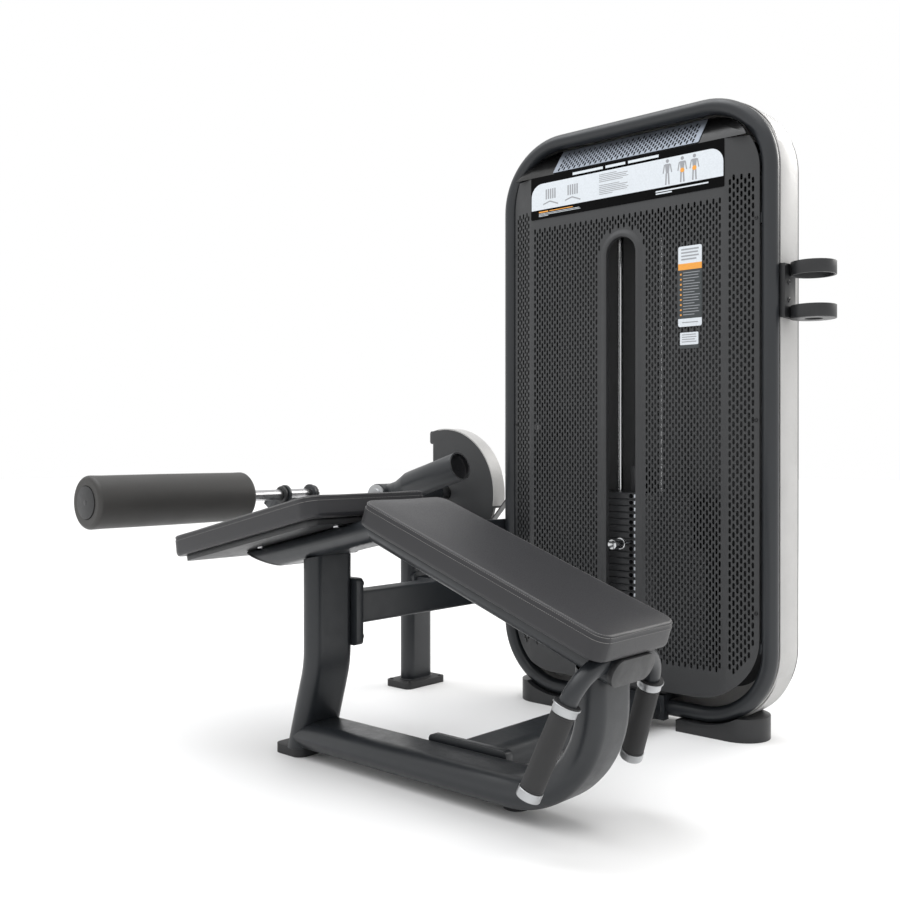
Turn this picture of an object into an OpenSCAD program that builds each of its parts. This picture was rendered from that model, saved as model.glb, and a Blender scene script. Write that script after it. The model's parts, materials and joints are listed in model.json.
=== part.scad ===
// Prone leg curl: a pad bench and leg arm bolted to a weight tower.
// +X runs towards the head end of the bench, +Y towards the tower, +Z up.
// The origin is on the floor under the middle of the machine.

/* [Tower] */
// Height of the top of the tower above the floor
tower_top = 1500; // [1450:5:1550]
// Height of the underside of the tower tube above the floor
tower_bottom = 28; // [24:1:34]
// Width of the tower, outside of the tube
tower_w = 786; // [760:2:800]
// Middle of the tower along the bench
tower_x = 255; // [250:1:260]
// Distance of the tube's plane from the origin
tower_y = 426; // [420:1:432]
// Diameter of the tower's bent tube
tower_tube_d = 38; // [34:1:42]
// Outer corner radius of the tower
tower_corner_r = 185; // [170:1:200]
// Distance of the front cover's face from the origin
cover_y = 389; // [385:1:392]
// Width of the flat middle of the front cover
cover_flat_w = 562; // [540:2:580]
// Distance of the back of the tower from the origin
back_y = 541; // [538:1:545]

/* [Weight stack] */
// Height of the top of the stack at rest
stack_top = 564; // [560:1:568]
// Height of one plate with its gap
plate_pitch = 16.5; // [16:0.5:17]
// Number of plates
plate_count = 27; // [24:1:27]
// Number of plates above the selector pin, the head plate included
lifted_count = 8; // [4:1:12]
// Distance of the middle of the stack from the origin
stack_y = 480; // [479:1:481]
// Depth of a plate
plate_depth = 92; // [88:1:94]
// Distance between the guide rods
rod_gap = 120; // [110:2:130]

/* [Bench] */
// Middle of the bench across the machine
bench_y = -300; // [-310:1:-290]
// Long side of the flat-oval frame tube
oval_w = 120; // [110:1:126]
// Short side of the flat-oval frame tube
oval_h = 60; // [54:1:64]
// Wall of the frame tubes
wall = 3; // [2:0.5:4]
// Slope of the chest pad, down to the head end
chest_slope = 19.8; // [19:0.1:21]
// Slope of the thigh pad, down to the foot end
thigh_slope = 13.15; // [12.5:0.05:14]
// Thickness of the pads
pad_t = 50; // [46:1:52]

/* [Leg arm] */
// Pivot position along the bench
pivot_x = -400; // [-402:1:-398]
// Pivot height
pivot_z = 545; // [543:1:547]
// Roller position along the bench
roller_x = -654; // [-658:1:-650]
// Diameter of the roller pad
roller_d = 131; // [125:1:135]
// Radius of the cam that winds the belt
cam_r = 172; // [168:1:174]

/* [Hidden] */
$fn = 48;
EPS = 0.01;
BIG = 2000;

// Tower outline, seen from the front
loop_h = tower_top - tower_bottom;
loop_mid_z = (tower_top + tower_bottom) / 2;
tube_r = tower_tube_d / 2;
inner_w = tower_w - 2 * tower_tube_d;
inner_corner_r = tower_corner_r - tower_tube_d;
left_x = tower_x - tower_w / 2;
right_x = tower_x + tower_w / 2;
sheet = 2.5;
shell_front_y = tower_y + 12;
shell_back_y = back_y - 11;
wing_back = 27;
slot_w = 84;
slot_bottom = 112;
slot_top = 1199;
header_z = 1389;
header_run = 71;
header_lean = 36;

// Bench frame
rail_z = 50;
bend_r = 183;
bend_x = 480;
post_x = bend_x + bend_r;
leg_x = -55;
leg_w = 50;
leg_bend_z = 240;
leg_lean = 16;
leg_bend_r = 225;
leg_foot_x = leg_x - leg_bend_r * (1 - cos(leg_lean))
    - (leg_bend_z - leg_bend_r * sin(leg_lean) - rail_z) * tan(leg_lean);
floor_pad_h = 20;
beam_end_x = 725;
beam_end_z = 299;
beam_w = 130;
beam_h = 50;
board_t = 12;
thigh_w = 355;
thigh_len = 496;
thigh_x = -400;
thigh_z = 472.1;
chest_w = 240;
chest_len = 608;
chest_gap = 3;
mitre_x = 140;
cross_x = -75;
cross_w = 50;
cross_h = 73;
cross_z = 317.5;
crossbar_x = 304;
plate_t = 10;

// Handles
handle_x = 702;
handle_z = 316;
handle_d = 32;
handle_tilt = 20.6;
handle_half = 55;
handle_bend_r = 75;
handle_splay = 9.4;
grip_d = 41;
grip_len = 140;
collar_len = 16;

// Leg arm and rear post
post_back_x = -416;
post_w = 48;
post_depth = 103;
post_y = 354.5;
link_z = [450, 288];
housing_r = 45;
housing_y0 = 303;
housing_y1 = 406;
shaft_r = 17.5;
bearing_r = 31;
hub_y0 = 184;
hub_y1 = 250;
hub_r = 33;
cw_slope = 17;
cw_d = 75;
cw_y = 216;
cw_len = 289;
cam_y0 = 468;
cam_y1 = 492;
guard_y = 462;
guard_r = 187;
guard_depth = 46;
elbow_x = -560;
elbow_z = 400;
rail_w = 72;
rail_t = 35;
rail_y = 115;
rail_slope = 34.4;
rail_len = 226;
roller_y0 = -539;
roller_y1 = -77;
roller_shaft_r = 15;
running_gap = 0.05;

// Belt and pulleys
belt_w = 24;
belt_t = 3;
pulley_r = 40;
pulley_w = 34;
belt_gap = 0.4;
run_x = -10;
redirect_z = 732;
pulley_top_z = 1400;
belt_slope = 48;
axle_r = 8;

// ---------- outlines and small helpers ----------

// Flat-oval outline, w along X and h along Y, with w over h
module oval(w, h) {
    square([w - h, h], center = true);
    for (s = [-1, 1]) translate([s * (w - h) / 2, 0]) circle(d = h);
}

module oval_tube(w, h, t) {
    difference() {
        oval(w, h);
        oval(w - 2 * t, h - 2 * t);
    }
}

// Rectangle with round corners
module round_rect(w, h, r) {
    square([w - 2 * r, h], center = true);
    square([w, h - 2 * r], center = true);
    for (i = [-1, 1], j = [-1, 1])
        translate([i * (w / 2 - r), j * (h / 2 - r)]) circle(r = r);
}

// A front-view outline made into a slab from y0 to y1, centred on the tower
module front_slab(y0, y1) {
    translate([tower_x, y1, loop_mid_z]) rotate([90, 0, 0])
        linear_extrude(y1 - y0) children();
}

// A cylinder along +Y from y0 to y1
module rod_y(x, z, y0, y1, r) {
    translate([x, y0, z]) rotate([-90, 0, 0]) cylinder(r = r, h = y1 - y0);
}

module box(lo, hi) {
    translate(lo) cube(hi - lo);
}

// Local frames of the two sloping pads: X along the slope, Z out of the pad
module chest_frame() {
    translate([beam_end_x, bench_y, beam_end_z]) rotate([0, chest_slope, 0]) children();
}

module thigh_frame() {
    translate([thigh_x, bench_y, thigh_z]) rotate([0, -thigh_slope, 0]) children();
}

// Cap nut along +Z: washer, body and domed top
module dome_bolt(head_d) {
    cylinder(d = head_d, h = 2.5);
    translate([0, 0, 2.5]) cylinder(d = head_d * 0.8, h = 6);
    translate([0, 0, 8.5]) rotate_extrude() intersection() {
        translate([0, -head_d * 0.1]) circle(d = head_d * 0.8);
        square([head_d * 0.4, head_d]);
    }
}

// ---------- bench frame ----------

// Straight part of the rail, from x0 to the front bend
module rail_straight(x0) {
    translate([x0, bench_y, rail_z]) rotate([90, 0, 90])
        linear_extrude(bend_x - x0) children();
}

// Part of the leg below its bend, leaning to -X
module leg_lower(len) {
    translate([leg_x - leg_bend_r, bench_y, leg_bend_z]) rotate([90, 0, 0])
        rotate([0, 0, -leg_lean]) translate([leg_bend_r, 0, 0]) rotate([90, 0, 0])
            linear_extrude(len) rotate([0, 0, 90]) children();
}

// Rail, front bend and upright in one bent flat-oval tube
module base_rail() {
    color("#3a3e42") {
        difference() {
            rail_straight(leg_foot_x) oval_tube(oval_w, oval_h, wall);
            leg_lower(240) oval(oval_w, leg_w);
        }
        translate([bend_x, bench_y, rail_z + bend_r]) rotate([90, 0, 0])
            rotate([0, 0, -90]) rotate_extrude(angle = 90)
                translate([bend_r, 0]) rotate([0, 0, 90]) oval_tube(oval_w, oval_h, wall);
        difference() {
            translate([post_x, bench_y, rail_z + bend_r]) linear_extrude(110)
                rotate([0, 0, 90]) oval_tube(oval_w, oval_h, wall);
            chest_frame() translate([-BIG, -BIG / 2, -beam_h / 2]) cube([2 * BIG, BIG, BIG]);
        }
    }
}

// Rear leg in two pieces, an upright butted onto a bent foot that leans to the foot end
module rear_leg() {
    color("#3a3e42") {
        difference() {
            translate([leg_x, bench_y, leg_bend_z + EPS]) linear_extrude(230)
                rotate([0, 0, 90]) oval_tube(oval_w, leg_w, wall);
            thigh_frame() translate([-BIG / 2, -BIG / 2, -pad_t - board_t - beam_h + 2])
                cube([BIG, BIG, BIG]);
        }
        translate([leg_x - leg_bend_r, bench_y, leg_bend_z]) rotate([90, 0, 0])
            rotate([0, 0, -leg_lean]) rotate_extrude(angle = leg_lean)
                translate([leg_bend_r, 0]) rotate([0, 0, 90]) oval_tube(oval_w, leg_w, wall);
        difference() {
            leg_lower(240) oval_tube(oval_w, leg_w, wall);
            box([-400, bench_y - 200, -200], [200, bench_y + 200, floor_pad_h]);
        }
    }
}

// The two slopes of the beam under the pads, mitred at the hip
module beam_solid(w, h) {
    intersection() {
        chest_frame() translate([-chest_len - 60, 0, 0]) rotate([90, 0, 90])
            linear_extrude(chest_len + 50) oval(w, h);
        box([mitre_x, bench_y - 200, 0], [900, bench_y + 200, 900]);
    }
    intersection() {
        thigh_frame() translate([0, 0, -pad_t + 2 - board_t - beam_h / 2]) rotate([90, 0, 90])
            linear_extrude(thigh_len + 200) oval(w, h);
        box([-500, bench_y - 200, 0], [mitre_x, bench_y + 200, 900]);
    }
}

// Bevelled cut at the foot end of the beam
module beam_bevel() {
    thigh_frame() translate([121, 0, -pad_t + 2 - board_t]) rotate([0, 24.9, 0])
        translate([-BIG / 2, -BIG / 2, -BIG]) cube([BIG, BIG, BIG]);
}

module pad_beam() {
    color("#3a3e42") difference() {
        beam_solid(beam_w, beam_h);
        beam_solid(beam_w - 2 * wall, beam_h - 2 * wall);
        beam_bevel();
        rod_y(handle_x, handle_z, bench_y - 200, bench_y + 200, handle_d / 2);
    }
}

module beam_end_caps() {
    color("#2b2e31") {
        chest_frame() translate([-10, 0, 0]) rotate([90, 0, 90])
            linear_extrude(10) oval(beam_w, beam_h);
        difference() {
            thigh_frame() translate([0, 0, -pad_t + 2 - board_t - beam_h / 2])
                rotate([90, 0, 90]) linear_extrude(300) oval(beam_w, beam_h);
            thigh_frame() translate([121, 0, -pad_t + 2 - board_t]) rotate([0, 24.9, 0])
                translate([-BIG / 2, -BIG / 2, 0]) cube([BIG, BIG, BIG]);
            thigh_frame() translate([121, 0, -pad_t + 2 - board_t]) rotate([0, 24.9, 0])
                translate([-BIG / 2, -BIG / 2, -BIG - 5]) cube([BIG, BIG, BIG]);
        }
    }
}

// Beam along Y from the rear leg to the tower
module cross_beam_solid(w, h, y0, y1) {
    translate([cross_x, y1, cross_z]) rotate([90, 0, 0])
        linear_extrude(y1 - y0) round_rect(w, h, 8);
}

module cross_beam() {
    color("#3a3e42") difference() {
        cross_beam_solid(cross_w, cross_h, bench_y + oval_w / 2 + plate_t, tower_y - 16);
        cross_beam_solid(cross_w - 2 * wall, cross_h - 2 * wall, bench_y, tower_y + 80);
    }
}

module base_crossbar() {
    y0 = bench_y + oval_w / 2 + plate_t;
    y1 = tower_y - 31;
    color("#3a3e42") translate([crossbar_x, y1, rail_z]) rotate([90, 0, 0])
        linear_extrude(y1 - y0) oval_tube(oval_w, oval_h, wall);
}

// Welded end plates of the two cross members, saddled round the tubes they meet
module joint_flanges() {
    side_y = bench_y + oval_w / 2;
    color("#33373b") {
        difference() {
            translate([cross_x + 15, side_y + plate_t, 315]) rotate([90, 0, 0])
                linear_extrude(plate_t + 10) round_rect(90, 148, 10);
            translate([leg_x, bench_y, 200]) linear_extrude(300)
                rotate([0, 0, 90]) oval(oval_w, leg_w);
        }
        difference() {
            translate([crossbar_x, side_y + plate_t, 54]) rotate([90, 0, 0])
                linear_extrude(plate_t + 10) round_rect(205, 68, 10);
            rail_straight(0) oval(oval_w, oval_h);
        }
        difference() {
            box([cross_x - 40, tower_y - 16, 270], [cross_x + 40, tower_y - 4, 365]);
            translate([left_x + tube_r, tower_y, 200]) cylinder(r = tube_r, h = 300);
        }
        difference() {
            box([crossbar_x - 68, tower_y - 31, 20], [crossbar_x + 68, tower_y - 8, 80]);
            translate([tower_x - 200, tower_y, tower_bottom + tube_r]) rotate([0, 90, 0])
                cylinder(r = tube_r, h = 400);
        }
    }
}

module flange_bolts() {
    side_y = bench_y + oval_w / 2 + plate_t;
    color("#1d1f21") {
        for (z = [257, 375])
            translate([cross_x + 42, side_y, z]) rotate([-90, 0, 0]) dome_bolt(24);
        for (x = [crossbar_x - 85, crossbar_x + 85])
            translate([x, side_y, 56]) rotate([-90, 0, 0]) dome_bolt(20);
    }
}

module rubber_feet() {
    color("#1c1d1f") {
        translate([455, bench_y + 22, 0]) cylinder(d = 50, h = floor_pad_h);
        translate([-135, bench_y, 0]) linear_extrude(floor_pad_h) round_rect(88, 100, 20);
        translate([post_back_x, post_y, 0]) linear_extrude(18) round_rect(92, 155, 16);
    }
}

// ---------- pads ----------

module thigh_board() {
    color("#26282a") thigh_frame() translate([thigh_len / 2, 0, -pad_t + 2 - board_t])
        linear_extrude(board_t) round_rect(thigh_len - 40, thigh_w - 40, 20);
}

module thigh_pad() {
    color("#2b2c2e") thigh_frame() translate([thigh_len / 2, 0, -pad_t + 2])
        linear_extrude(pad_t - 2) round_rect(thigh_len, thigh_w, 30);
}

module chest_pad() {
    color("#2b2c2e") chest_frame()
        translate([-chest_gap - chest_len / 2, 0, beam_h / 2])
            linear_extrude(pad_t) round_rect(chest_len, chest_w, 28);
}

// ---------- handles ----------

// Bend and straight end of the handle in the XY plane: X outwards, -Y down the grip
module handle_end(r, grip_end) {
    translate([handle_half, -handle_bend_r, 0]) rotate([0, 0, handle_splay]) {
        rotate_extrude(angle = 90 - handle_splay)
            translate([handle_bend_r, 0]) circle(r = r);
        translate([handle_bend_r, 0, 0]) rotate([90, 0, 0]) cylinder(r = r, h = grip_end);
    }
}

// Sleeve on the straight part of the handle, from a to b along the grip
module grip_ring(a, b, r_out, r_in) {
    translate([handle_half, -handle_bend_r, 0]) rotate([0, 0, handle_splay])
        translate([handle_bend_r, -a, 0]) rotate([90, 0, 0]) difference() {
            cylinder(r = r_out, h = b - a);
            translate([0, 0, -1]) cylinder(r = r_in, h = b - a + 2);
        }
}

module on_handle() {
    translate([handle_x, bench_y, handle_z]) rotate([0, handle_tilt, 0])
        for (side = [0, 1]) mirror([0, side, 0]) rotate([90, 0, 90]) children();
}

module handle_bar() {
    color("#3a3e42") {
        rod_y(handle_x, handle_z, bench_y - handle_half, bench_y + handle_half, handle_d / 2);
        on_handle() handle_end(handle_d / 2, grip_len + 2 * collar_len);
    }
}

module handle_grips() {
    color("#2a2b2c") on_handle()
        grip_ring(collar_len, collar_len + grip_len, grip_d / 2, handle_d / 2);
}

module grip_collars() {
    end_a = collar_len + grip_len;
    color("#c9ccce") on_handle() {
        grip_ring(3, collar_len, grip_d / 2 + 1.5, handle_d / 2);
        grip_ring(0, 3, grip_d / 2 + 4, handle_d / 2);
        grip_ring(end_a, end_a + collar_len, grip_d / 2 + 1, handle_d / 2);
    }
}

// ---------- rear post and pivot ----------

module rear_post() {
    color("#3a3e42") difference() {
        translate([post_back_x, post_y, 18]) linear_extrude(500) rotate([0, 0, 90])
            oval_tube(post_depth, post_w, wall);
        rod_y(pivot_x, pivot_z, housing_y0 - 50, housing_y1 + 50, housing_r);
    }
}

// Two beams from the rear post to the tower, with end plates saddled round its tube
module link_beams() {
    plate_x = left_x - 8;
    len = plate_x - post_back_x;
    color("#3a3e42") difference() {
        union() {
            for (z = link_z) {
                translate([post_back_x, post_y, z]) rotate([90, 0, 90])
                    linear_extrude(len) round_rect(60, 50, 12);
                box([plate_x, post_y - 32, z - 32], [plate_x + 12, tower_y + 4, z + 32]);
            }
            translate([post_back_x, post_y, link_z[1]]) rotate([90, 0, 90])
                linear_extrude(post_w / 2 + 8) round_rect(81, 75, 14);
        }
        for (z = link_z) translate([post_back_x, post_y, z]) rotate([90, 0, 90])
            linear_extrude(len) round_rect(54, 44, 9);
        translate([post_back_x, post_y, 0]) linear_extrude(600) rotate([0, 0, 90])
            oval(post_depth, post_w);
        box([post_back_x - 1, post_y - 60, 200], [post_back_x + 8, post_y + 60, 520]);
        loop_solid(tube_r);
    }
}

module bearing_housing() {
    color("#3a3e42") difference() {
        rod_y(pivot_x, pivot_z, housing_y0, housing_y1, housing_r);
        rod_y(pivot_x, pivot_z, housing_y0 - 1, housing_y1 + 1, bearing_r - 3);
        rod_y(pivot_x, pivot_z, housing_y0 - 1, housing_y0 + 18, bearing_r);
        rod_y(pivot_x, pivot_z, housing_y1 - 18, housing_y1 + 1, bearing_r);
    }
}

module pivot_bearings() {
    color("#b9bdc0") for (y = [housing_y0, housing_y1 - 18]) difference() {
        rod_y(pivot_x, pivot_z, y, y + 18, bearing_r);
        rod_y(pivot_x, pivot_z, y - 1, y + 19, shaft_r + running_gap);
    }
}

// Wedge from the origin between two angles less than 180 degrees apart
module wedge(a0, a1) {
    far = 400;
    mid = (a0 + a1) / 2;
    polygon([[0, 0], far * [cos(a0), sin(a0)], far * [cos(mid), sin(mid)], far * [cos(a1), sin(a1)]]);
}

// D-shaped outline of the cam guard, flat side to -X
module guard_outline(r, cut) {
    intersection() {
        circle(r = r);
        translate([cut, -r]) square([2 * r, 2 * r]);
    }
}

// Plate behind the post with a rim over the cam, open where the belt leaves
module cam_guard() {
    rim = 3;
    flat = -48;
    color("#33363a") translate([pivot_x, guard_y + rim, pivot_z]) rotate([90, 0, 0]) {
        linear_extrude(rim) difference() {
            union() {
                guard_outline(guard_r, flat);
                translate([flat - 2, 162]) round_rect(20, 38, 8);
            }
            circle(r = shaft_r + 6);
        }
        translate([0, 0, rim - guard_depth]) linear_extrude(guard_depth - rim) difference() {
            guard_outline(guard_r, flat);
            circle(r = guard_r - rim);
            wedge(-70, -12);
        }
    }
}

module guard_standoffs() {
    color("#55595d") for (z = [440, 480])
        rod_y(post_back_x, z, post_y + post_depth / 2, guard_y, 8);
}

// ---------- tower ----------

// The closed round-tube loop, as a solid bar of the given radius
module loop_solid(r) {
    hw = tower_w / 2 - tube_r;
    hh = loop_h / 2 - tube_r;
    rc = tower_corner_r - tube_r;
    translate([tower_x, tower_y, loop_mid_z]) rotate([90, 0, 0]) {
        for (s = [-1, 1]) {
            translate([s * hw, -hh + rc, 0]) rotate([-90, 0, 0]) cylinder(r = r, h = 2 * (hh - rc));
            translate([-hw + rc, s * hh, 0]) rotate([0, 90, 0]) cylinder(r = r, h = 2 * (hw - rc));
        }
        for (i = [0:3]) {
            sx = (i == 0 || i == 3) ? 1 : -1;
            sy = (i < 2) ? 1 : -1;
            translate([sx * (hw - rc), sy * (hh - rc), 0]) rotate([0, 0, 90 * i])
                rotate_extrude(angle = 90) translate([rc, 0]) circle(r = r);
        }
    }
}

module tower_loop() {
    color("#3b4045") difference() {
        loop_solid(tube_r);
        loop_solid(tube_r - wall);
    }
}

module side_shell() {
    color("#d9d9d8") difference() {
        front_slab(shell_front_y, shell_back_y) difference() {
            round_rect(tower_w, loop_h, tower_corner_r);
            round_rect(tower_w - 2 * wall, loop_h - 2 * wall, tower_corner_r - wall);
        }
        // way in for the belt from the cam
        box([left_x - 20, stack_y - 20, 500], [left_x + 20, stack_y + 20, 640]);
    }
}

// Raised pan behind the stack, with a rim that closes the shell
module back_cover() {
    inset = 120;
    pan_r = tower_corner_r - inset * 0.4;
    color("#d0d0cf") {
        front_slab(shell_back_y, shell_back_y + wall) difference() {
            round_rect(tower_w, loop_h, tower_corner_r);
            round_rect(tower_w - inset - 2 * wall, loop_h - inset - 2 * wall, pan_r - wall);
        }
        front_slab(shell_back_y + wall, back_y - wall) difference() {
            round_rect(tower_w - inset, loop_h - inset, pan_r);
            round_rect(tower_w - inset - 2 * wall, loop_h - inset - 2 * wall, pan_r - wall);
        }
        front_slab(back_y - wall, back_y) round_rect(tower_w - inset, loop_h - inset, pan_r);
    }
}

// Folded sheet seen from above: flat middle and two wings angled back
module cover_plan() {
    fx = cover_flat_w / 2;
    wx = inner_w / 2 + 4;
    k = sheet * 0.2;
    polygon([
        [-wx, cover_y + wing_back], [-fx, cover_y], [fx, cover_y], [wx, cover_y + wing_back],
        [wx, cover_y + wing_back + sheet], [fx - k, cover_y + sheet],
        [-fx + k, cover_y + sheet], [-wx, cover_y + wing_back + sheet]
    ]);
}

module cover_outline() {
    gap = 2;
    bottom = 92;
    h = tower_top - tower_tube_d - gap - bottom;
    translate([0, bottom + h / 2 - loop_mid_z]) round_rect(inner_w - 2 * gap, h, inner_corner_r);
}

module front_cover() {
    slot_h = slot_top - slot_bottom;
    color("#33373a") difference() {
        intersection() {
            translate([tower_x, 0, 0]) linear_extrude(header_z) cover_plan();
            front_slab(cover_y - 20, cover_y + 60) cover_outline();
        }
        front_slab(cover_y - 20, cover_y + 60)
            translate([0, slot_bottom + slot_h / 2 - loop_mid_z]) rotate(90) oval(slot_h, slot_w);
        box([cross_x - 45, cover_y - 20, 265], [cross_x + 45, cover_y + 60, 370]);
        loop_solid(tube_r);
    }
}

// Panel that leans back from the top of the cover
module header_panel() {
    color("#1d1f21") intersection() {
        translate([left_x, cover_y, header_z]) rotate([-header_lean, 0, 0])
            cube([tower_w, sheet, header_run / cos(header_lean)]);
        front_slab(cover_y - 20, cover_y + 80) cover_outline();
        box([left_x, cover_y - 20, header_z], [right_x, cover_y + 80, tower_top]);
    }
}

// Brackets that hold the shell and the cover to the loop
module cover_clips() {
    color("#4a4e52") difference() {
        union() {
            for (z = [250, 750, 1250]) {
                box([right_x - 35, tower_y + 13, z - 15], [right_x - wall, tower_y + 25, z + 15]);
                box([left_x + wall, tower_y + 13, z - 15], [left_x + 35, tower_y + 25, z + 15]);
            }
            for (z = [220, 1200]) {
                box([right_x - 46, tower_y - 7.4, z - 12], [right_x - 30, tower_y + 4, z + 12]);
                box([left_x + 30, tower_y - 7.4, z - 12], [left_x + 46, tower_y + 4, z + 12]);
            }
        }
        loop_solid(tube_r);
        translate([tower_x, 0, 0]) linear_extrude(header_z) cover_plan();
    }
}

module label_placard() {
    color("#151617") box([tower_x - cover_flat_w / 2 + 2, cover_y - 1.5, 1278],
        [tower_x + cover_flat_w / 2 - 2, cover_y, header_z]);
}

module notice_placards() {
    color("#2e2f31") {
        box([tower_x + 160, cover_y - 1, 963], [tower_x + 222, cover_y, 1153]);
        box([tower_x + 164, cover_y - 1, 911], [tower_x + 214, cover_y, 950]);
    }
}

// Moulded feet cradling the lower corners of the tower
module tower_feet() {
    foot_y0 = 397;
    foot_y1 = 533;
    foot_r = (foot_y1 - foot_y0) / 2;
    foot_in = 148;
    foot_out = 350;
    foot_h = 54;
    color("#232527") difference() {
        for (s = [-1, 1]) {
            translate([tower_x + s * (foot_in + foot_out - foot_r) / 2, (foot_y0 + foot_y1) / 2, 0])
                linear_extrude(foot_h)
                    square([foot_out - foot_r - foot_in, foot_y1 - foot_y0], center = true);
            translate([tower_x + s * (foot_out - foot_r), (foot_y0 + foot_y1) / 2, 0])
                cylinder(r = foot_r, h = foot_h);
        }
        front_slab(foot_y0 - 10, foot_y1 + 10) round_rect(tower_w, loop_h, tower_corner_r);
    }
}

// ---------- weight stack ----------

module stack_base() {
    color("#3a3e42") difference() {
        box([tower_x - 110, tower_y - 8, 62], [tower_x + 110, shell_back_y, 84]);
        loop_solid(tube_r);
        for (s = [-1, 1]) translate([tower_x + s * rod_gap / 2, stack_y, 50]) cylinder(r = 8, h = 60);
        translate([tower_x, stack_y, 50]) cylinder(r = 20, h = 60);
    }
}

module stack_bumpers() {
    bottom = stack_top - plate_count * plate_pitch;
    color("#1c1d1f") for (s = [-1, 1])
        translate([tower_x + s * rod_gap / 2, stack_y, 84]) difference() {
            cylinder(r = 25, h = bottom - 84);
            translate([0, 0, -1]) cylinder(r = 8.5, h = bottom);
        }
}

module guide_rods() {
    color("#c4c8cb") for (s = [-1, 1])
        translate([tower_x + s * rod_gap / 2, stack_y, 62]) cylinder(r = 8, h = 1290);
}

module top_crossmember() {
    color("#3a3e42") difference() {
        box([left_x + wall, tower_y + 8, 1325], [right_x - wall, tower_y + 90, 1350]);
        loop_solid(tube_r);
        front_slab(400, 600) difference() {
            square([tower_w * 2, loop_h * 2], center = true);
            round_rect(tower_w - 2 * wall, loop_h - 2 * wall, tower_corner_r - wall);
        }
        for (s = [-1, 1]) translate([tower_x + s * rod_gap / 2, stack_y, 1300]) cylinder(r = 8, h = 100);
        box([tower_x - 14, stack_y - 18, 1300], [tower_x + 14, stack_y + 18, 1400]);
        box([run_x - 14, stack_y - 18, 1300], [run_x + 14, stack_y + 18, 1400]);
    }
}

// One weight plate with its rod holes and the stem hole
module plate(i, half_w) {
    z1 = stack_top - i * plate_pitch;
    color("#2c2e31") difference() {
        box([tower_x - half_w, stack_y - plate_depth / 2, z1 - plate_pitch + 1],
            [tower_x + half_w, stack_y + plate_depth / 2, z1]);
        for (s = [-1, 1]) translate([tower_x + s * rod_gap / 2, stack_y, z1 - 40]) cylinder(r = 9, h = 80);
        translate([tower_x, stack_y, z1 - 40]) cylinder(r = 13.5, h = 80);
        rod_y(tower_x, z1 - plate_pitch / 2, stack_y - plate_depth, stack_y - 5, 5.5);
    }
}

module head_plate() {
    plate(0, 171);
}

module lifted_plates() {
    for (i = [1:lifted_count - 1]) plate(i, 171);
}

module fixed_plates() {
    for (i = [lifted_count:plate_count - 1]) plate(i, 205);
}

module selector_stem() {
    color("#b9bdc0") translate([tower_x, stack_y, 130]) difference() {
        cylinder(r = 12.5, h = stack_top + 40 - 130);
        for (i = [0:plate_count - 2])
            translate([0, 0, stack_top - (i + 0.5) * plate_pitch - 130]) rotate([90, 0, 0])
                translate([0, 0, -20]) cylinder(r = 5.5, h = 40);
    }
}

// Block on the stem that grips the end of the belt
module belt_clamp() {
    color("#2c2e31") difference() {
        box([tower_x - 16, stack_y - 18, stack_top], [tower_x + 16, stack_y + 18, stack_top + 66]);
        translate([tower_x, stack_y, stack_top - 1]) cylinder(r = 12.5, h = 41);
        box([tower_x - belt_t / 2, stack_y - belt_w / 2, stack_top + 44],
            [tower_x + belt_t / 2, stack_y + belt_w / 2, stack_top + 70]);
        for (z = [stack_top + 50, stack_top + 60]) rod_y(tower_x, z, stack_y - 30, stack_y - 12, 3);
    }
}

module selector_pin() {
    z = stack_top - (lifted_count - 0.5) * plate_pitch;
    color("#c9ccce") {
        rod_y(tower_x, z, stack_y - 92, stack_y + 10, 5);
        rod_y(tower_x, z, stack_y - 131, stack_y - 92, 12);
        rod_y(tower_x, z, stack_y - 95, stack_y - 90, 14);
    }
}

// ---------- belt and pulleys ----------

// Grooved belt pulley with its bearing bore along Y
module pulley(x, z) {
    translate([x, stack_y + pulley_w / 2, z]) rotate([90, 0, 0]) rotate_extrude() polygon([
        [axle_r + running_gap, 0], [pulley_r + 5, 0], [pulley_r + 5, 3], [pulley_r, 4],
        [pulley_r, pulley_w - 4], [pulley_r + 5, pulley_w - 3], [pulley_r + 5, pulley_w],
        [axle_r + running_gap, pulley_w]
    ]);
}

module redirect_pulley() {
    color("#202224") pulley(run_x - pulley_r - belt_gap - belt_t / 2, redirect_z);
}

module top_pulley_left() {
    color("#202224") pulley(run_x + pulley_r + belt_gap + belt_t / 2, pulley_top_z);
}

module top_pulley_right() {
    color("#202224") pulley(tower_x - pulley_r - belt_gap - belt_t / 2, pulley_top_z);
}

module pulley_axles() {
    c = pulley_r + belt_gap + belt_t / 2;
    color("#9b9fa3") for (p = [[run_x - c, redirect_z], [run_x + c, pulley_top_z], [tower_x - c, pulley_top_z]]) {
        rod_y(p[0], p[1], stack_y - 24, stack_y + 24, axle_r);
        rod_y(p[0], p[1], stack_y - 30, stack_y - 24, 12);
        rod_y(p[0], p[1], stack_y + 24, stack_y + 30, 12);
    }
}

module pulley_brackets() {
    c = pulley_r + belt_gap + belt_t / 2;
    color("#3a3e42") for (y = [stack_y - 24, stack_y + 18]) difference() {
        union() {
            for (x = [run_x + c, tower_x - c])
                box([x - 22, y, 1350], [x + 22, y + 6, pulley_top_z + 22]);
            box([left_x + wall, y, redirect_z - 22], [run_x - c + 22, y + 6, redirect_z + 22]);
        }
        for (p = [[run_x - c, redirect_z], [run_x + c, pulley_top_z], [tower_x - c, pulley_top_z]])
            rod_y(p[0], p[1], stack_y - 40, stack_y + 40, axle_r);
    }
}

// Flat belt between two radii over an arc, seen from the front
module belt_arc(x, z, a0, a1) {
    translate([x, stack_y + belt_w / 2, z]) rotate([90, 0, 0]) rotate([0, 0, a0])
        rotate_extrude(angle = a1 - a0)
            translate([pulley_r + belt_gap, 0]) square([belt_t, belt_w]);
}

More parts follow.
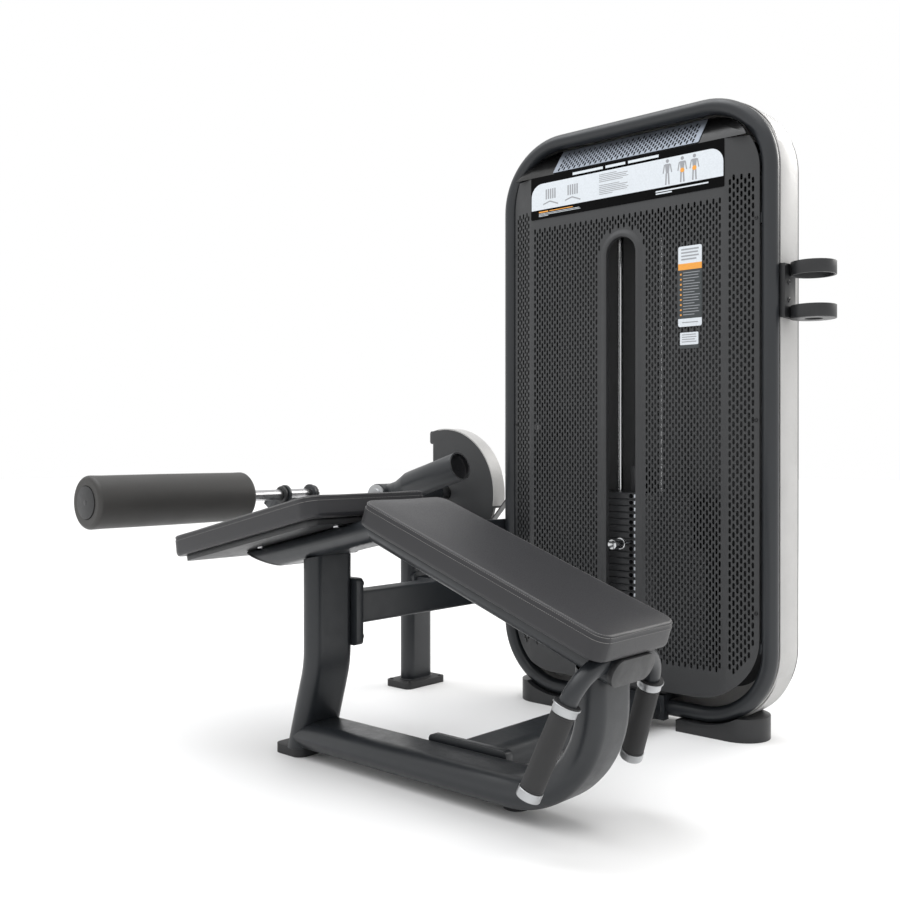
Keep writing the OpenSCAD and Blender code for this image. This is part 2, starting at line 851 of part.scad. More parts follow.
// Fixed-length part of the belt: cam to redirect pulley, up, and over the top
module belt_run() {
    c = pulley_r + belt_gap + belt_t / 2;
    half = belt_w / 2;
    lean = 90 - belt_slope;
    tx = run_x - c + c * cos(lean);
    tz = redirect_z - c * sin(lean);
    run_len = 372;
    color("#17181a") {
        translate([tx, stack_y, tz]) rotate([0, -belt_slope, 0])
            translate([-run_len, -half, -belt_t / 2]) cube([run_len, belt_w, belt_t]);
        belt_arc(run_x - c, redirect_z, -lean, 0);
        box([run_x - belt_t / 2, stack_y - half, redirect_z],
            [run_x + belt_t / 2, stack_y + half, pulley_top_z]);
        belt_arc(run_x + c, pulley_top_z, 90, 180);
        box([run_x + c, stack_y - half, pulley_top_z + c - belt_t / 2],
            [tower_x - c, stack_y + half, pulley_top_z + c + belt_t / 2]);
        belt_arc(tower_x - c, pulley_top_z, 0, 90);
    }
}

module belt_drop() {
    color("#17181a") box([tower_x - belt_t / 2, stack_y - belt_w / 2, stack_top + 66],
        [tower_x + belt_t / 2, stack_y + belt_w / 2, pulley_top_z]);
}

// ---------- leg arm ----------

// Local frame at the pivot
module at_pivot(y) {
    translate([pivot_x, y, pivot_z]) children();
}

module pivot_shaft() {
    color("#9b9fa3") rod_y(pivot_x, pivot_z, hub_y0, cam_y1 + 8, shaft_r);
}

module hub_cap() {
    color("#d5d8da") {
        rod_y(pivot_x, pivot_z, hub_y0 - 6, hub_y0, hub_r - 2);
        rod_y(pivot_x, pivot_z, hub_y0 - 12, hub_y0 - 6, hub_r - 12);
    }
}

// Bar with a rectangular section between two points of the XZ plane
module link_bar(x0, z0, x1, z1, y0, y1, t) {
    len = norm([x1 - x0, z1 - z0]);
    translate([x0, y0, z0]) rotate([0, -atan2(z1 - z0, x1 - x0), 0])
        translate([0, 0, -t / 2]) cube([len, y1 - y0, t]);
}

// Direction of the sloping rail that carries the roller
rail_dx = -cos(rail_slope);
rail_dz = sin(rail_slope);

module leg_arm_tube() {
    rail_end_x = elbow_x + rail_len * rail_dx;
    rail_end_z = elbow_z + rail_len * rail_dz;
    color("#3a3e42") difference() {
        union() {
            rod_y(pivot_x, pivot_z, hub_y0, hub_y1, hub_r);
            link_bar(pivot_x, pivot_z, elbow_x, elbow_z, hub_y0 + 3, hub_y1 - 3, 44);
            rod_y(elbow_x, elbow_z, rail_y - rail_w / 2 - 2, hub_y1 - 1, 26);
            link_bar(elbow_x, elbow_z, rail_end_x, rail_end_z, rail_y - rail_w / 2, rail_y + rail_w / 2, rail_t);
        }
        rod_y(pivot_x, pivot_z, hub_y0 - 1, hub_y1 + 1, shaft_r);
    }
}

module arm_end_cap() {
    rail_end_x = elbow_x + rail_len * rail_dx;
    rail_end_z = elbow_z + rail_len * rail_dz;
    color("#151617") link_bar(rail_end_x, rail_end_z, rail_end_x + 6 * rail_dx, rail_end_z + 6 * rail_dz,
        rail_y - rail_w / 2 - 1, rail_y + rail_w / 2 + 1, rail_t + 2);
}

// Fat tube behind the pivot, with a cone down to the hub
module counterweight_tube() {
    color("#4a4f54") at_pivot(cw_y) rotate([0, 90 - cw_slope, 0]) difference() {
        union() {
            cylinder(d1 = 52, d2 = 52, h = 60);
            translate([0, 0, 60]) cylinder(d1 = 52, d2 = cw_d, h = 45);
            translate([0, 0, 105]) cylinder(d = cw_d, h = cw_len - 105);
        }
        translate([0, 0, cw_len - 14]) cylinder(d = cw_d - 7, h = 20);
        rotate([0, cw_slope - 90, 0]) rod_y(0, 0, -100, 100, hub_r);
    }
}

// Sector cam: the belt winds onto its round edge
module leg_cam() {
    a0 = -62;
    a1 = 82;
    color("#45494d") translate([pivot_x, cam_y1, pivot_z]) rotate([90, 0, 0]) difference() {
        union() {
            linear_extrude(cam_y1 - cam_y0) intersection() {
                difference() {
                    circle(r = cam_r);
                    circle(r = cam_r - 14);
                }
                wedge(a0, a1);
            }
            translate([0, 0, (cam_y1 - cam_y0) / 2 - 5]) linear_extrude(10) difference() {
                intersection() {
                    circle(r = cam_r - 14 + EPS);
                    wedge(a0, a1);
                }
                for (a = [-30, 10, 50]) rotate(a) translate([105, 0]) circle(r = 24);
            }
            cylinder(r = 34, h = cam_y1 - cam_y0);
        }
        translate([0, 0, -1]) cylinder(r = shaft_r, h = cam_y1 - cam_y0 + 2);
    }
}

// ---------- roller ----------

// Distance of the roller's axis above the middle of the rail, and along it from the elbow
roller_dx = roller_x - elbow_x;
roller_dz = pivot_z - elbow_z;
along = roller_dx * rail_dx + roller_dz * rail_dz;
above = roller_dx * rail_dz - roller_dz * rail_dx;
ear_t = 9;
sleeve_t = 5;
slide_gap = 0.3;

// Frame on the rail under the roller: X down the rail towards the elbow, Z up to the roller
module rail_frame() {
    translate([elbow_x + along * rail_dx, rail_y, elbow_z + along * rail_dz])
        rotate([0, rail_slope, 0]) children();
}

module roller_carriage() {
    in_w = rail_w / 2 + slide_gap;
    in_t = rail_t / 2 + slide_gap;
    color("#33373b") rail_frame() difference() {
        union() {
            box([-40, -in_w - sleeve_t, -in_t - sleeve_t], [40, in_w + sleeve_t, in_t + sleeve_t]);
            for (s = [-1, 1]) {
                y0 = s > 0 ? in_w + sleeve_t - EPS : -in_w - sleeve_t - ear_t + EPS;
                translate([0, y0, 0]) {
                    box([-27, 0, -in_t - sleeve_t], [27, ear_t, above]);
                    translate([0, 0, above]) rotate([-90, 0, 0]) cylinder(r = 27, h = ear_t);
                }
            }
        }
        box([-60, -in_w, -in_t], [60, in_w, in_t]);
        translate([0, -100, above]) rotate([-90, 0, 0]) cylinder(r = roller_shaft_r, h = 200);
        translate([0, 0, -60]) cylinder(r = 9 + running_gap, h = 60);
    }
}

module roller_shaft() {
    color("#8f9397") rod_y(roller_x, pivot_z, roller_y0 + 8, 186, roller_shaft_r);
}

module shaft_collars() {
    color("#1d1f21") for (y = [rail_y - 62, rail_y + 52.4]) difference() {
        rod_y(roller_x, pivot_z, y, y + 9, 24);
        rod_y(roller_x, pivot_z, y - 1, y + 10, roller_shaft_r);
    }
}

// Inner tube of the roller with its end discs, turning on the shaft
module roller_core() {
    color("#232527") difference() {
        union() {
            rod_y(roller_x, pivot_z, roller_y0 + 6, roller_y1 + 2, 22);
            rod_y(roller_x, pivot_z, roller_y0 - 2, roller_y0 + 6, 40);
            rod_y(roller_x, pivot_z, roller_y1, roller_y1 + 6, 36);
        }
        rod_y(roller_x, pivot_z, roller_y0 + 6, roller_y1 + 20, roller_shaft_r + running_gap);
    }
}

module roller_pad() {
    color("#2b2c2e") difference() {
        rod_y(roller_x, pivot_z, roller_y0, roller_y1, roller_d / 2);
        rod_y(roller_x, pivot_z, roller_y0 - 1, roller_y1 + 1, 22);
        rod_y(roller_x, pivot_z, roller_y0 - 1, roller_y0 + 6, 40);
    }
}

// Spring plunger under the carriage that locks it on the rail
module roller_pop_pin() {
    color("#1d1f21") rail_frame() {
        translate([0, 0, -52]) cylinder(r = 9, h = 52 - rail_t / 2 - slide_gap - 0.5);
        translate([0, 0, -74]) cylinder(r = 15, h = 22);
    }
}

// ---------- cup holder ----------

// Two rings on a bracket, the lower one with a floor
module cup_holder() {
    cup_r = 50;
    cup_wall = 5;
    ring_h = 30;
    low = 968;
    high = 1066;
    cx = right_x + cup_r + 8;
    color("#242628") difference() {
        union() {
            for (z = [low, high]) translate([cx, stack_y, z]) cylinder(r = cup_r, h = ring_h);
            box([right_x, stack_y - 48, low + 4], [right_x + 12, stack_y + 8, high + ring_h - 2]);
        }
        for (z = [low + 4, high - 16]) translate([cx, stack_y, z])
            cylinder(r = cup_r - cup_wall, h = 60);
        translate([cx, stack_y, low - 10]) cylinder(r = 20, h = 30);
    }
}

base_rail();
rear_leg();
pad_beam();
beam_end_caps();
cross_beam();
base_crossbar();
joint_flanges();
flange_bolts();
rubber_feet();
thigh_board();
thigh_pad();
chest_pad();
handle_bar();
handle_grips();
grip_collars();
rear_post();
link_beams();
bearing_housing();
pivot_bearings();
cam_guard();
guard_standoffs();
tower_loop();
side_shell();
back_cover();
front_cover();
header_panel();
cover_clips();
label_placard();
notice_placards();
tower_feet();
stack_base();
stack_bumpers();
guide_rods();
top_crossmember();
pulley_brackets();
pulley_axles();
fixed_plates();
belt_run();
cup_holder();
leg_arm_tube();
counterweight_tube();
pivot_shaft();
hub_cap();
arm_end_cap();
leg_cam();
roller_carriage();
roller_shaft();
shaft_collars();
roller_core();
roller_pad();
roller_pop_pin();
head_plate();
lifted_plates();
selector_stem();
belt_clamp();
belt_drop();
selector_pin();
redirect_pulley();
top_pulley_left();
top_pulley_right();
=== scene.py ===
import json
import math
from collections import defaultdict

import bmesh
import bpy
import numpy as np
from mathutils import Matrix, Vector
from mathutils.bvhtree import BVHTree
from mathutils.geometry import delaunay_2d_cdt


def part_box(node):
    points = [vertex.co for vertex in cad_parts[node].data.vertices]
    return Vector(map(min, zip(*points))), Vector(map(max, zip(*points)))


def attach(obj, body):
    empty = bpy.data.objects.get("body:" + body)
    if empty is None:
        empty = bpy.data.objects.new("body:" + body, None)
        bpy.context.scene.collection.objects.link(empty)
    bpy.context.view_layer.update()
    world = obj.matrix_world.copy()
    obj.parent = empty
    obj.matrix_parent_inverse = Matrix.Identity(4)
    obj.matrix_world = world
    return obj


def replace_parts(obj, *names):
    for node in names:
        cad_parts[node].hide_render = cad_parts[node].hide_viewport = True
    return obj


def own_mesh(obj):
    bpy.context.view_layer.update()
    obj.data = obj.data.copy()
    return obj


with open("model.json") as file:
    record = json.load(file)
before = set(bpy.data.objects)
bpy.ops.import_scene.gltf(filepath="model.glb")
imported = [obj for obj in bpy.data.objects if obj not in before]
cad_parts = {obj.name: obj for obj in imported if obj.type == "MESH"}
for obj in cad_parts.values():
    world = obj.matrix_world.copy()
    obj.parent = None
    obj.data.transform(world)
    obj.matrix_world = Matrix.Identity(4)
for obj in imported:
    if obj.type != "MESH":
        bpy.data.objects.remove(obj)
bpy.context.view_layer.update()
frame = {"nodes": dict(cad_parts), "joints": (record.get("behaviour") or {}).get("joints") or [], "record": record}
NODES = frame["nodes"]
JOINTS = {joint["name"]: joint for joint in frame["joints"]}
PIVOT = Vector(JOINTS["leg_arm_pivot"]["pos_m"])
MM = 0.001

# slopes of the two pads about Y
THIGH_SLOPE = math.radians(-13.15)
CHEST_SLOPE = math.radians(19.8)


# ---------- materials ----------

class Nodes:
    """A material's node tree with short calls for the nodes that every finish uses."""

    def __init__(self, name):
        self.mat = bpy.data.materials.new(name)
        self.mat.use_nodes = True
        self.tree = self.mat.node_tree
        self.shader = self.tree.nodes["Principled BSDF"]
        self.place = self.add("ShaderNodeTexCoord").outputs["Object"]

    def add(self, kind, **settings):
        node = self.tree.nodes.new(kind)
        for key, value in settings.items():
            setattr(node, key, value)
        return node

    def link(self, a, b):
        self.tree.links.new(a, b)

    def fed(self, kind, output, socket, source, **numbers):
        """A node with its numbers set and one linked input."""
        node = self.add(kind)
        for key, number in numbers.items():
            node.inputs[key.replace("_", " ")].default_value = number
        self.link(source, node.inputs[socket])
        return node.outputs[output]

    def stretched(self, scale):
        return self.fed("ShaderNodeMapping", "Vector", "Vector", self.place, Scale=scale)

    def noise(self, scale, detail=3.0, rough=0.55, at=None):
        return self.fed("ShaderNodeTexNoise", "Fac", "Vector", at or self.place,
                        Scale=scale, Detail=detail, Roughness=rough)

    def cells(self, scale):
        return self.fed("ShaderNodeTexVoronoi", "Distance", "Vector", self.place, Scale=scale)

    def ramp(self, value, low, high, out_low=0.0, out_high=1.0):
        return self.fed("ShaderNodeMapRange", "Result", "Value", value,
                        From_Min=low, From_Max=high, To_Min=out_low, To_Max=out_high)

    def maths(self, operation, a, b):
        node = self.add("ShaderNodeMath", operation=operation)
        for socket, value in zip(node.inputs, (a, b)):
            if isinstance(value, (int, float)):
                socket.default_value = value
            else:
                self.link(value, socket)
        return node.outputs[0]

    def times(self, a, b):
        return self.maths("MULTIPLY", a, b)

    def mix(self, factor, a, b):
        node = self.add("ShaderNodeMix", data_type="RGBA")
        self.link(factor, node.inputs["Factor"])
        color_a, color_b, color_out = 6, 7, 2
        for index, value in ((color_a, a), (color_b, b)):
            if isinstance(value, tuple):
                node.inputs[index].default_value = (*value, 1.0)
            else:
                self.link(value, node.inputs[index])
        return node.outputs[color_out]

    def edges(self, radius):
        """How near an edge is: 0 on flat faces, up to 1 on a sharp edge."""
        bevel = self.add("ShaderNodeBevel", samples=4)
        bevel.inputs["Radius"].default_value = radius
        normal = self.add("ShaderNodeNewGeometry").outputs["Normal"]
        dot = self.add("ShaderNodeVectorMath", operation="DOT_PRODUCT")
        self.link(bevel.outputs["Normal"], dot.inputs[0])
        self.link(normal, dot.inputs[1])
        return self.ramp(dot.outputs["Value"], 0.995, 0.8)

    def bump(self, height, distance, strength=1.0, under=None):
        node = self.add("ShaderNodeBump")
        node.inputs["Strength"].default_value = strength
        node.inputs["Distance"].default_value = distance
        self.link(height, node.inputs["Height"])
        if under is not None:
            self.link(under, node.inputs["Normal"])
        return node.outputs["Normal"]

    def finish(self, color, rough, normal=None, metallic=0.0, **fixed):
        self.link(color, self.shader.inputs["Base Color"])
        self.link(rough, self.shader.inputs["Roughness"])
        if normal is not None:
            self.link(normal, self.shader.inputs["Normal"])
        self.shader.inputs["Metallic"].default_value = metallic
        for key, value in fixed.items():
            self.shader.inputs[key.replace("_", " ")].default_value = value
        return self.mat


    def toned(self, factor, base, low, high):
        """A mix of the base colour times low and times high."""
        return self.mix(factor, scaled(base, low), scaled(base, high))


def scaled(color, factor):
    return tuple(c * factor for c in color)


def coated(name, base, rough, grain=1100.0, depth=0.05 * MM, wear=0.3, wear_amount=0.35, **fixed):
    """Powder coat or moulded plastic: fine orange peel, cloudy colour, dust and rubbed edges."""
    n = Nodes(name)
    cloud = n.ramp(n.noise(5.0, 4.0), 0.3, 0.7)
    color = n.toned(cloud, base, 0.88, 1.14)
    speck = n.ramp(n.noise(grain, 2.0), 0.35, 0.7)
    color = n.mix(n.times(speck, 0.35), color, scaled(base, 1.9))
    rub = n.ramp(n.noise(70.0, 4.0), 0.48, 0.68)
    edge = n.times(n.edges(0.8 * MM), rub)
    edge = n.times(edge, wear_amount)
    color = n.mix(edge, color, (wear,) * 3)
    scuff = n.ramp(n.noise(38.0, 6.0, 0.7), 0.3, 0.75, rough - 0.07, rough + 0.08)
    normal = n.bump(n.noise(grain, 3.0), depth)
    normal = n.bump(n.noise(60.0, 2.0), 0.12 * MM, 0.4, normal)
    return n.finish(color, scuff, normal, **fixed)


def metal(name, base, rough, along, metallic=1.0):
    """Drawn, turned or brushed metal: fine lines across the given stretch, with smudges."""
    n = Nodes(name)
    lines = n.noise(500.0, 3.0, 0.6, n.stretched(along))
    smudge = n.ramp(n.noise(22.0, 4.0), 0.3, 0.72)
    color = n.toned(n.times(lines, 0.5), base, 0.8, 1.08)
    color = n.mix(n.times(smudge, 0.25), color, scaled(base, 0.78))
    marks = n.maths("ADD", lines, n.times(smudge, 0.4))
    gloss = n.ramp(marks, 0.2, 1.2, rough - 0.06, rough + 0.14)
    return n.finish(color, gloss, n.bump(lines, 0.02 * MM, 0.6), metallic)


def vinyl(name, base, rough):
    """Upholstery vinyl: pebble grain of two sizes, faint creases and a soft sheen."""
    n = Nodes(name)
    pebble = n.cells(620.0)
    fine = n.noise(1900.0, 3.0)
    crease = n.ramp(n.noise(16.0, 6.0, 0.62), 0.42, 0.5)
    cloud = n.ramp(n.noise(4.0, 3.0), 0.3, 0.7)
    color = n.toned(cloud, base, 0.9, 1.12)
    color = n.mix(n.ramp(pebble, 0.1, 0.75, 0.0, 0.4), color, scaled(base, 1.7))
    gloss = n.ramp(pebble, 0.1, 0.8, rough - 0.06, rough + 0.1)
    normal = n.bump(pebble, 0.16 * MM, 0.75)
    normal = n.bump(fine, 0.05 * MM, 0.7, normal)
    normal = n.bump(crease, 0.12 * MM, 0.25, normal)
    return n.finish(color, gloss, normal, Sheen_Weight=0.05, Sheen_Roughness=0.4)


def rubbery(name, base, rough, scale, depth):
    """Foam skin or grip rubber: dense pits and matt streaks."""
    n = Nodes(name)
    pits = n.noise(scale, 4.0, 0.7)
    streak = n.ramp(n.noise(14.0, 4.0), 0.3, 0.7)
    color = n.toned(streak, base, 0.9, 1.15)
    color = n.mix(n.ramp(pits, 0.45, 0.75, 0.0, 0.6), color, scaled(base, 2.0))
    gloss = n.ramp(streak, 0.0, 1.0, rough - 0.05, rough + 0.07)
    return n.finish(color, gloss, n.bump(pits, depth, 0.8))


def printed(name, base, rough, **fixed):
    """Printed film: even colour with the faintest mottle and light scuffs."""
    n = Nodes(name)
    mottle = n.ramp(n.noise(260.0, 2.0), 0.3, 0.7)
    color = n.toned(mottle, base, 0.95, 1.04)
    gloss = n.ramp(n.noise(30.0, 5.0), 0.3, 0.7, rough - 0.08, rough + 0.1)
    return n.finish(color, gloss, n.bump(mottle, 0.01 * MM, 0.4), **fixed)


LENGTHWISE_Y = (60.0, 1.0, 60.0)
LENGTHWISE_Z = (60.0, 60.0, 1.0)

PAINT = coated("frame paint", (0.0125, 0.0145, 0.017), 0.36, wear=0.12)
COVER = coated("cover paint", (0.028, 0.029, 0.0305), 0.50, wear=0.1)
PANEL = coated("header paint", (0.003, 0.003, 0.003), 0.22, grain=300.0, depth=0.005 * MM,
               Specular_IOR_Level=0.2)
# the white shell's base colour is a mid grey: painted shade for the dim light on its sides
SHELL = coated("shell paint greyed for shade", (0.36, 0.356, 0.35), 0.42, wear=0.5, wear_amount=0.12)
PLASTIC = coated("moulded plastic", (0.012, 0.0125, 0.0135), 0.44, grain=700.0, wear=0.1, wear_amount=0.3)
BLACK_BOLT = coated("black oxide", (0.006, 0.006, 0.007), 0.32, wear=0.2)
IRON = coated("plate paint", (0.024, 0.025, 0.027), 0.42, grain=600.0, depth=0.1 * MM, wear_amount=0.6)
RUBBER = rubbery("foot rubber", (0.014, 0.014, 0.015), 0.62, 900.0, 0.08 * MM)
GRIP = rubbery("grip rubber", (0.014, 0.014, 0.0145), 0.66, 1400.0, 0.1 * MM)
FOAM = rubbery("roller foam", (0.026, 0.025, 0.0235), 0.52, 800.0, 0.16 * MM)
BELT = rubbery("belt", (0.055, 0.055, 0.056), 0.45, 700.0, 0.1 * MM)
VINYL = vinyl("pad vinyl", (0.0105, 0.0105, 0.0125), 0.40)
THREAD = printed("thread", (0.20, 0.195, 0.19), 0.6)
ALUMINIUM = metal("aluminium", (0.50, 0.51, 0.52), 0.30, LENGTHWISE_Y)
STEEL = metal("turned steel", (0.50, 0.50, 0.51), 0.26, LENGTHWISE_Y)
ROD = metal("chrome rod", (0.66, 0.67, 0.68), 0.14, LENGTHWISE_Z)
SILVER = metal("silver sheet", (0.22, 0.245, 0.285), 0.36, (1.0, 60.0, 60.0), metallic=0.75)
LABEL_BLACK = printed("label black", (0.002, 0.002, 0.0022), 0.25, Specular_IOR_Level=0.06)
LABEL_WHITE = printed("label white", (0.66, 0.70, 0.74), 0.38)
LABEL_GREY = printed("label grey", (0.30, 0.31, 0.33), 0.45)
LABEL_DARK = printed("label dark", (0.035, 0.042, 0.045), 0.4)
LABEL_ORANGE = printed("label orange", (0.80, 0.34, 0.05), 0.4)

FINISHES = {
    "frame_paint": PAINT, "cover_paint": COVER, "shell_white": SHELL, "black_plastic": PLASTIC,
    "black_bolt": BLACK_BOLT, "rubber": RUBBER, "grip_rubber": GRIP, "vinyl": VINYL, "foam": FOAM,
    "aluminium": ALUMINIUM, "bright_steel": STEEL, "chrome": ROD, "stack_iron": IRON,
    "placard": LABEL_DARK, "belt": BELT,
}
EDGE_RADII = {
    "frame_paint": 1.2 * MM, "cover_paint": 0.6 * MM, "shell_white": 2.5 * MM, "black_plastic": 2.0 * MM,
    "black_bolt": 0.7 * MM, "rubber": 2.0 * MM, "aluminium": 0.7 * MM, "bright_steel": 0.6 * MM,
    "chrome": 0.5 * MM, "stack_iron": 1.0 * MM, "belt": 0.3 * MM,
}


# ---------- mesh helpers ----------

def angle_smoothing():
    """Geometry nodes that shade smooth across every edge flatter than the limit."""
    tree = bpy.data.node_groups.new("smooth_by_edge_angle", "GeometryNodeTree")
    for name, way in (("Mesh in", "INPUT"), ("Mesh out", "OUTPUT")):
        tree.interface.new_socket(name, in_out=way, socket_type="NodeSocketGeometry")
    start, end = tree.nodes.new("NodeGroupInput"), tree.nodes.new("NodeGroupOutput")
    angle = tree.nodes.new("GeometryNodeInputMeshEdgeAngle")
    flat = tree.nodes.new("FunctionNodeCompare")
    flat.data_type = "FLOAT"
    flat.operation = "LESS_THAN"
    flat.inputs["B"].default_value = math.radians(31.0)
    faces = tree.nodes.new("GeometryNodeSetShadeSmooth")
    edges = tree.nodes.new("GeometryNodeSetShadeSmooth")
    faces.domain, edges.domain = "FACE", "EDGE"
    link = tree.links.new
    link(angle.outputs["Unsigned Angle"], flat.inputs["A"])
    link(start.outputs[0], faces.inputs["Geometry"])
    link(faces.outputs[0], edges.inputs["Geometry"])
    link(flat.outputs["Result"], edges.inputs["Shade Smooth"])
    link(edges.outputs[0], end.inputs[0])
    return tree


SMOOTHING = angle_smoothing()


def smooth(obj):
    modifier = obj.modifiers.new("smooth", "NODES")
    modifier.node_group = SMOOTHING


def linked(name, data):
    obj = bpy.data.objects.new(name, data)
    bpy.context.scene.collection.objects.link(obj)
    return obj


def made(name, verts, faces, body, material):
    """A new piece from points in metres in the row frame, riding on a body."""
    mesh = bpy.data.meshes.new(name)
    mesh.from_pydata([tuple(v) for v in verts], [], [tuple(int(i) for i in f) for f in faces])
    bm = bmesh.new()
    bm.from_mesh(mesh)
    bmesh.ops.recalc_face_normals(bm, faces=bm.faces)
    bm.to_mesh(mesh)
    bm.free()
    mesh.materials.append(material)
    obj = linked(name, mesh)
    smooth(obj)
    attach(obj, body)
    return obj


class Batch:
    """Points and faces of many small shapes that become one piece."""

    def __init__(self):
        self.verts, self.faces = [], []

    def put(self, verts, faces):
        base = len(self.verts)
        self.verts.extend(verts)
        self.faces.extend([tuple(base + i for i in f) for f in faces])

    def make(self, name, body, slot, material):
        return made(name, self.verts, self.faces, body, material)


def metres(pairs):
    """A section or profile given in millimetres."""
    return [(a * MM, b * MM) for a, b in pairs]


def lathe_shape(profile, origin, axis, sides, ring=False):
    """Points and faces of a (radius, distance) profile turned about an axis. A ring's profile is closed."""
    axis = Vector(axis).normalized()
    turn = axis.to_track_quat("Z", "Y").to_matrix()
    verts, rows = [], []
    for radius, along in profile:
        if radius < 1e-7:
            rows.append([len(verts)])
            verts.append(Vector(origin) + axis * along)
            continue
        rows.append(list(range(len(verts), len(verts) + sides)))
        for k in range(sides):
            a = 2 * math.pi * k / sides
            point = Vector((radius * math.cos(a), radius * math.sin(a), along))
            verts.append(Vector(origin) + turn @ point)
    faces = []
    pairs = list(zip(rows, rows[1:] + rows[:1])) if ring else list(zip(rows, rows[1:]))
    for low, high in pairs:
        for k in range(sides):
            a, b = low[k % len(low)], low[(k + 1) % len(low)]
            c, d = high[(k + 1) % len(high)], high[k % len(high)]
            corner = [i for n, i in enumerate((a, b, c, d)) if i not in (a, b, c, d)[:n]]
            if len(corner) > 2:
                faces.append(corner)
    return verts, faces


def arc(cx, cz, radius, start, end, steps):
    """Points of an arc, angles in degrees."""
    for k in range(steps + 1):
        a = math.radians(start + (end - start) * k / steps)
        yield cx + radius * math.cos(a), cz + radius * math.sin(a)


def rectangle(x0, z0, x1, z1):
    return [(x0, z0), (x1, z0), (x1, z1), (x0, z1)]


def rounded_loop(x0, z0, x1, z1, radii, steps):
    """A rectangle's outline. Its radii: right top, left top, left bottom, right bottom, or one for all."""
    if isinstance(radii, float):
        radii = (radii,) * 4
    corners = ((x1, z1, -1, -1, 0), (x0, z1, 1, -1, 90), (x0, z0, 1, 1, 180), (x1, z0, -1, 1, 270))
    points = []
    for (x, z, sx, sz, start), r in zip(corners, radii):
        if r < 1e-6:
            points.append((x, z))
        else:
            points.extend(arc(x + sx * r, z + sz * r, r, start, start + 90, steps))
    return points


def stadium(cx, z0, z1, half, steps):
    """An upright slot with round ends."""
    top = list(arc(cx, z1 - half, half, 0, 180, steps))
    return top + list(arc(cx, z0 + half, half, 180, 360, steps))


def sheet_solid(name, loops, lines, place, thickness, body, material):
    """A flat pattern with holes, made into a sheet. place(u, v, depth) puts its points in the frame."""
    points, edges = [], []
    for loop in loops:
        base, count = len(points), len(loop)
        points.extend(Vector(p) for p in loop)
        edges.extend((base + k, base + (k + 1) % count) for k in range(count))
    loop_edges = len(edges)
    for a, b in lines:
        edges.append((len(points), len(points) + 1))
        points.extend((Vector(a), Vector(b)))
    flat, out_edges, tris, _, sources, _ = delaunay_2d_cdt(points, edges, [], 0, 1e-7)
    walls = {tuple(sorted(e)) for e, s in zip(out_edges, sources) if any(i < loop_edges for i in s)}
    owner = defaultdict(list)
    for f, tri in enumerate(tris):
        for k in range(3):
            owner[tuple(sorted((tri[k], tri[k - 1])))].append(f)
    inside = {}
    queue = []
    for key, faces in owner.items():
        if len(faces) == 1 and faces[0] not in inside:
            inside[faces[0]] = key in walls
            queue.append(faces[0])
    while queue:
        f = queue.pop()
        tri = tris[f]
        for k in range(3):
            key = tuple(sorted((tri[k], tri[k - 1])))
            for g in owner[key]:
                if g not in inside:
                    inside[g] = inside[f] != (key in walls)
                    queue.append(g)
    kept = [tris[f] for f in range(len(tris)) if inside.get(f)]
    used = sorted({i for t in kept for i in t})
    index = {v: k for k, v in enumerate(used)}
    front = [place(flat[v].x, flat[v].y, 0.0) for v in used]
    back = [place(flat[v].x, flat[v].y, thickness) for v in used]
    faces = []
    count = len(used)
    rim = defaultdict(list)
    for t in kept:
        a, b, c = (index[i] for i in t)
        faces.append((a, b, c))
        faces.append((count + c, count + b, count + a))
        for p, q in ((a, b), (b, c), (c, a)):
            rim[tuple(sorted((p, q)))].append((p, q))
    for pair in rim.values():
        if len(pair) == 1:
            p, q = pair[0]
            faces.append((q, p, count + p, count + q))
    return made(name, front + back, faces, body, material)


def pointed_slot(x, z, size=1.0):
    """One perforation: an upright slot with pointed ends."""
    quarter = [(2.0, 6.1), (2.75, 4.2)]
    half = quarter + [(a, -b) for a, b in reversed(quarter)]
    shape = [(0.0, 7.5)] + half + [(0.0, -7.5)] + [(-a, b) for a, b in reversed(half)]
    return [(x + a * MM * size, z + b * MM * size) for a, b in shape]


def staggered(x0, x1, z0, z1, pitch_x, pitch_z):
    """Centres of perforations in columns, every other column half a pitch up."""
    middle = (x0 + x1) / 2
    columns = int((x1 - x0) / 2 / pitch_x)
    rows = int((z1 - z0) / pitch_z)
    for c in range(-columns, columns + 1):
        for r in range(rows + 1):
            z = z0 + (r + 0.5 * (c % 2)) * pitch_z
            if z <= z1:
                yield middle + c * pitch_x, z


def prism(batch, outline, front, depth):
    """A flat shape in the XZ plane, from y = front back to front + depth."""
    count = len(outline)
    verts = [(x, front, z) for x, z in outline] + [(x, front + depth, z) for x, z in outline]
    faces = [tuple(range(count)), tuple(range(2 * count - 1, count - 1, -1))]
    faces += [(k, (k + 1) % count, count + (k + 1) % count, count + k) for k in range(count)]
    batch.put(verts, faces)


def swept(path, closed, section, name, body, material):
    """A closed section carried along points, each given as (point, side direction, out direction)."""
    verts, faces = [], []
    count = len(section)
    for point, side, out in path:
        verts.extend(point + side * a + out * b for a, b in section)
    rows = len(path)
    for r in range(rows if closed else rows - 1):
        for k in range(count):
            a, b = r * count + k, r * count + (k + 1) % count
            above = (r + 1) % rows * count
            faces.append((a, b, above + (k + 1) % count, above + k))
    if not closed:
        faces.append(tuple(range(count)))
        faces.append(tuple(range((rows - 1) * count, rows * count))[::-1])
    return made(name, verts, faces, body, material)


def round_pivot(radius, y, start, sweep, steps):
    """A path about the leg arm's pivot for swept(), angles in degrees."""
    path = []
    for k in range(steps + 1):
        a = math.radians(start + sweep * k / steps)
        out = Vector((math.cos(a), 0, math.sin(a)))
        path.append((Vector((PIVOT.x, y, PIVOT.z)) + out * radius, Vector((0, 1, 0)), out))
    return path


# ---------- carried-over CAD nodes ----------

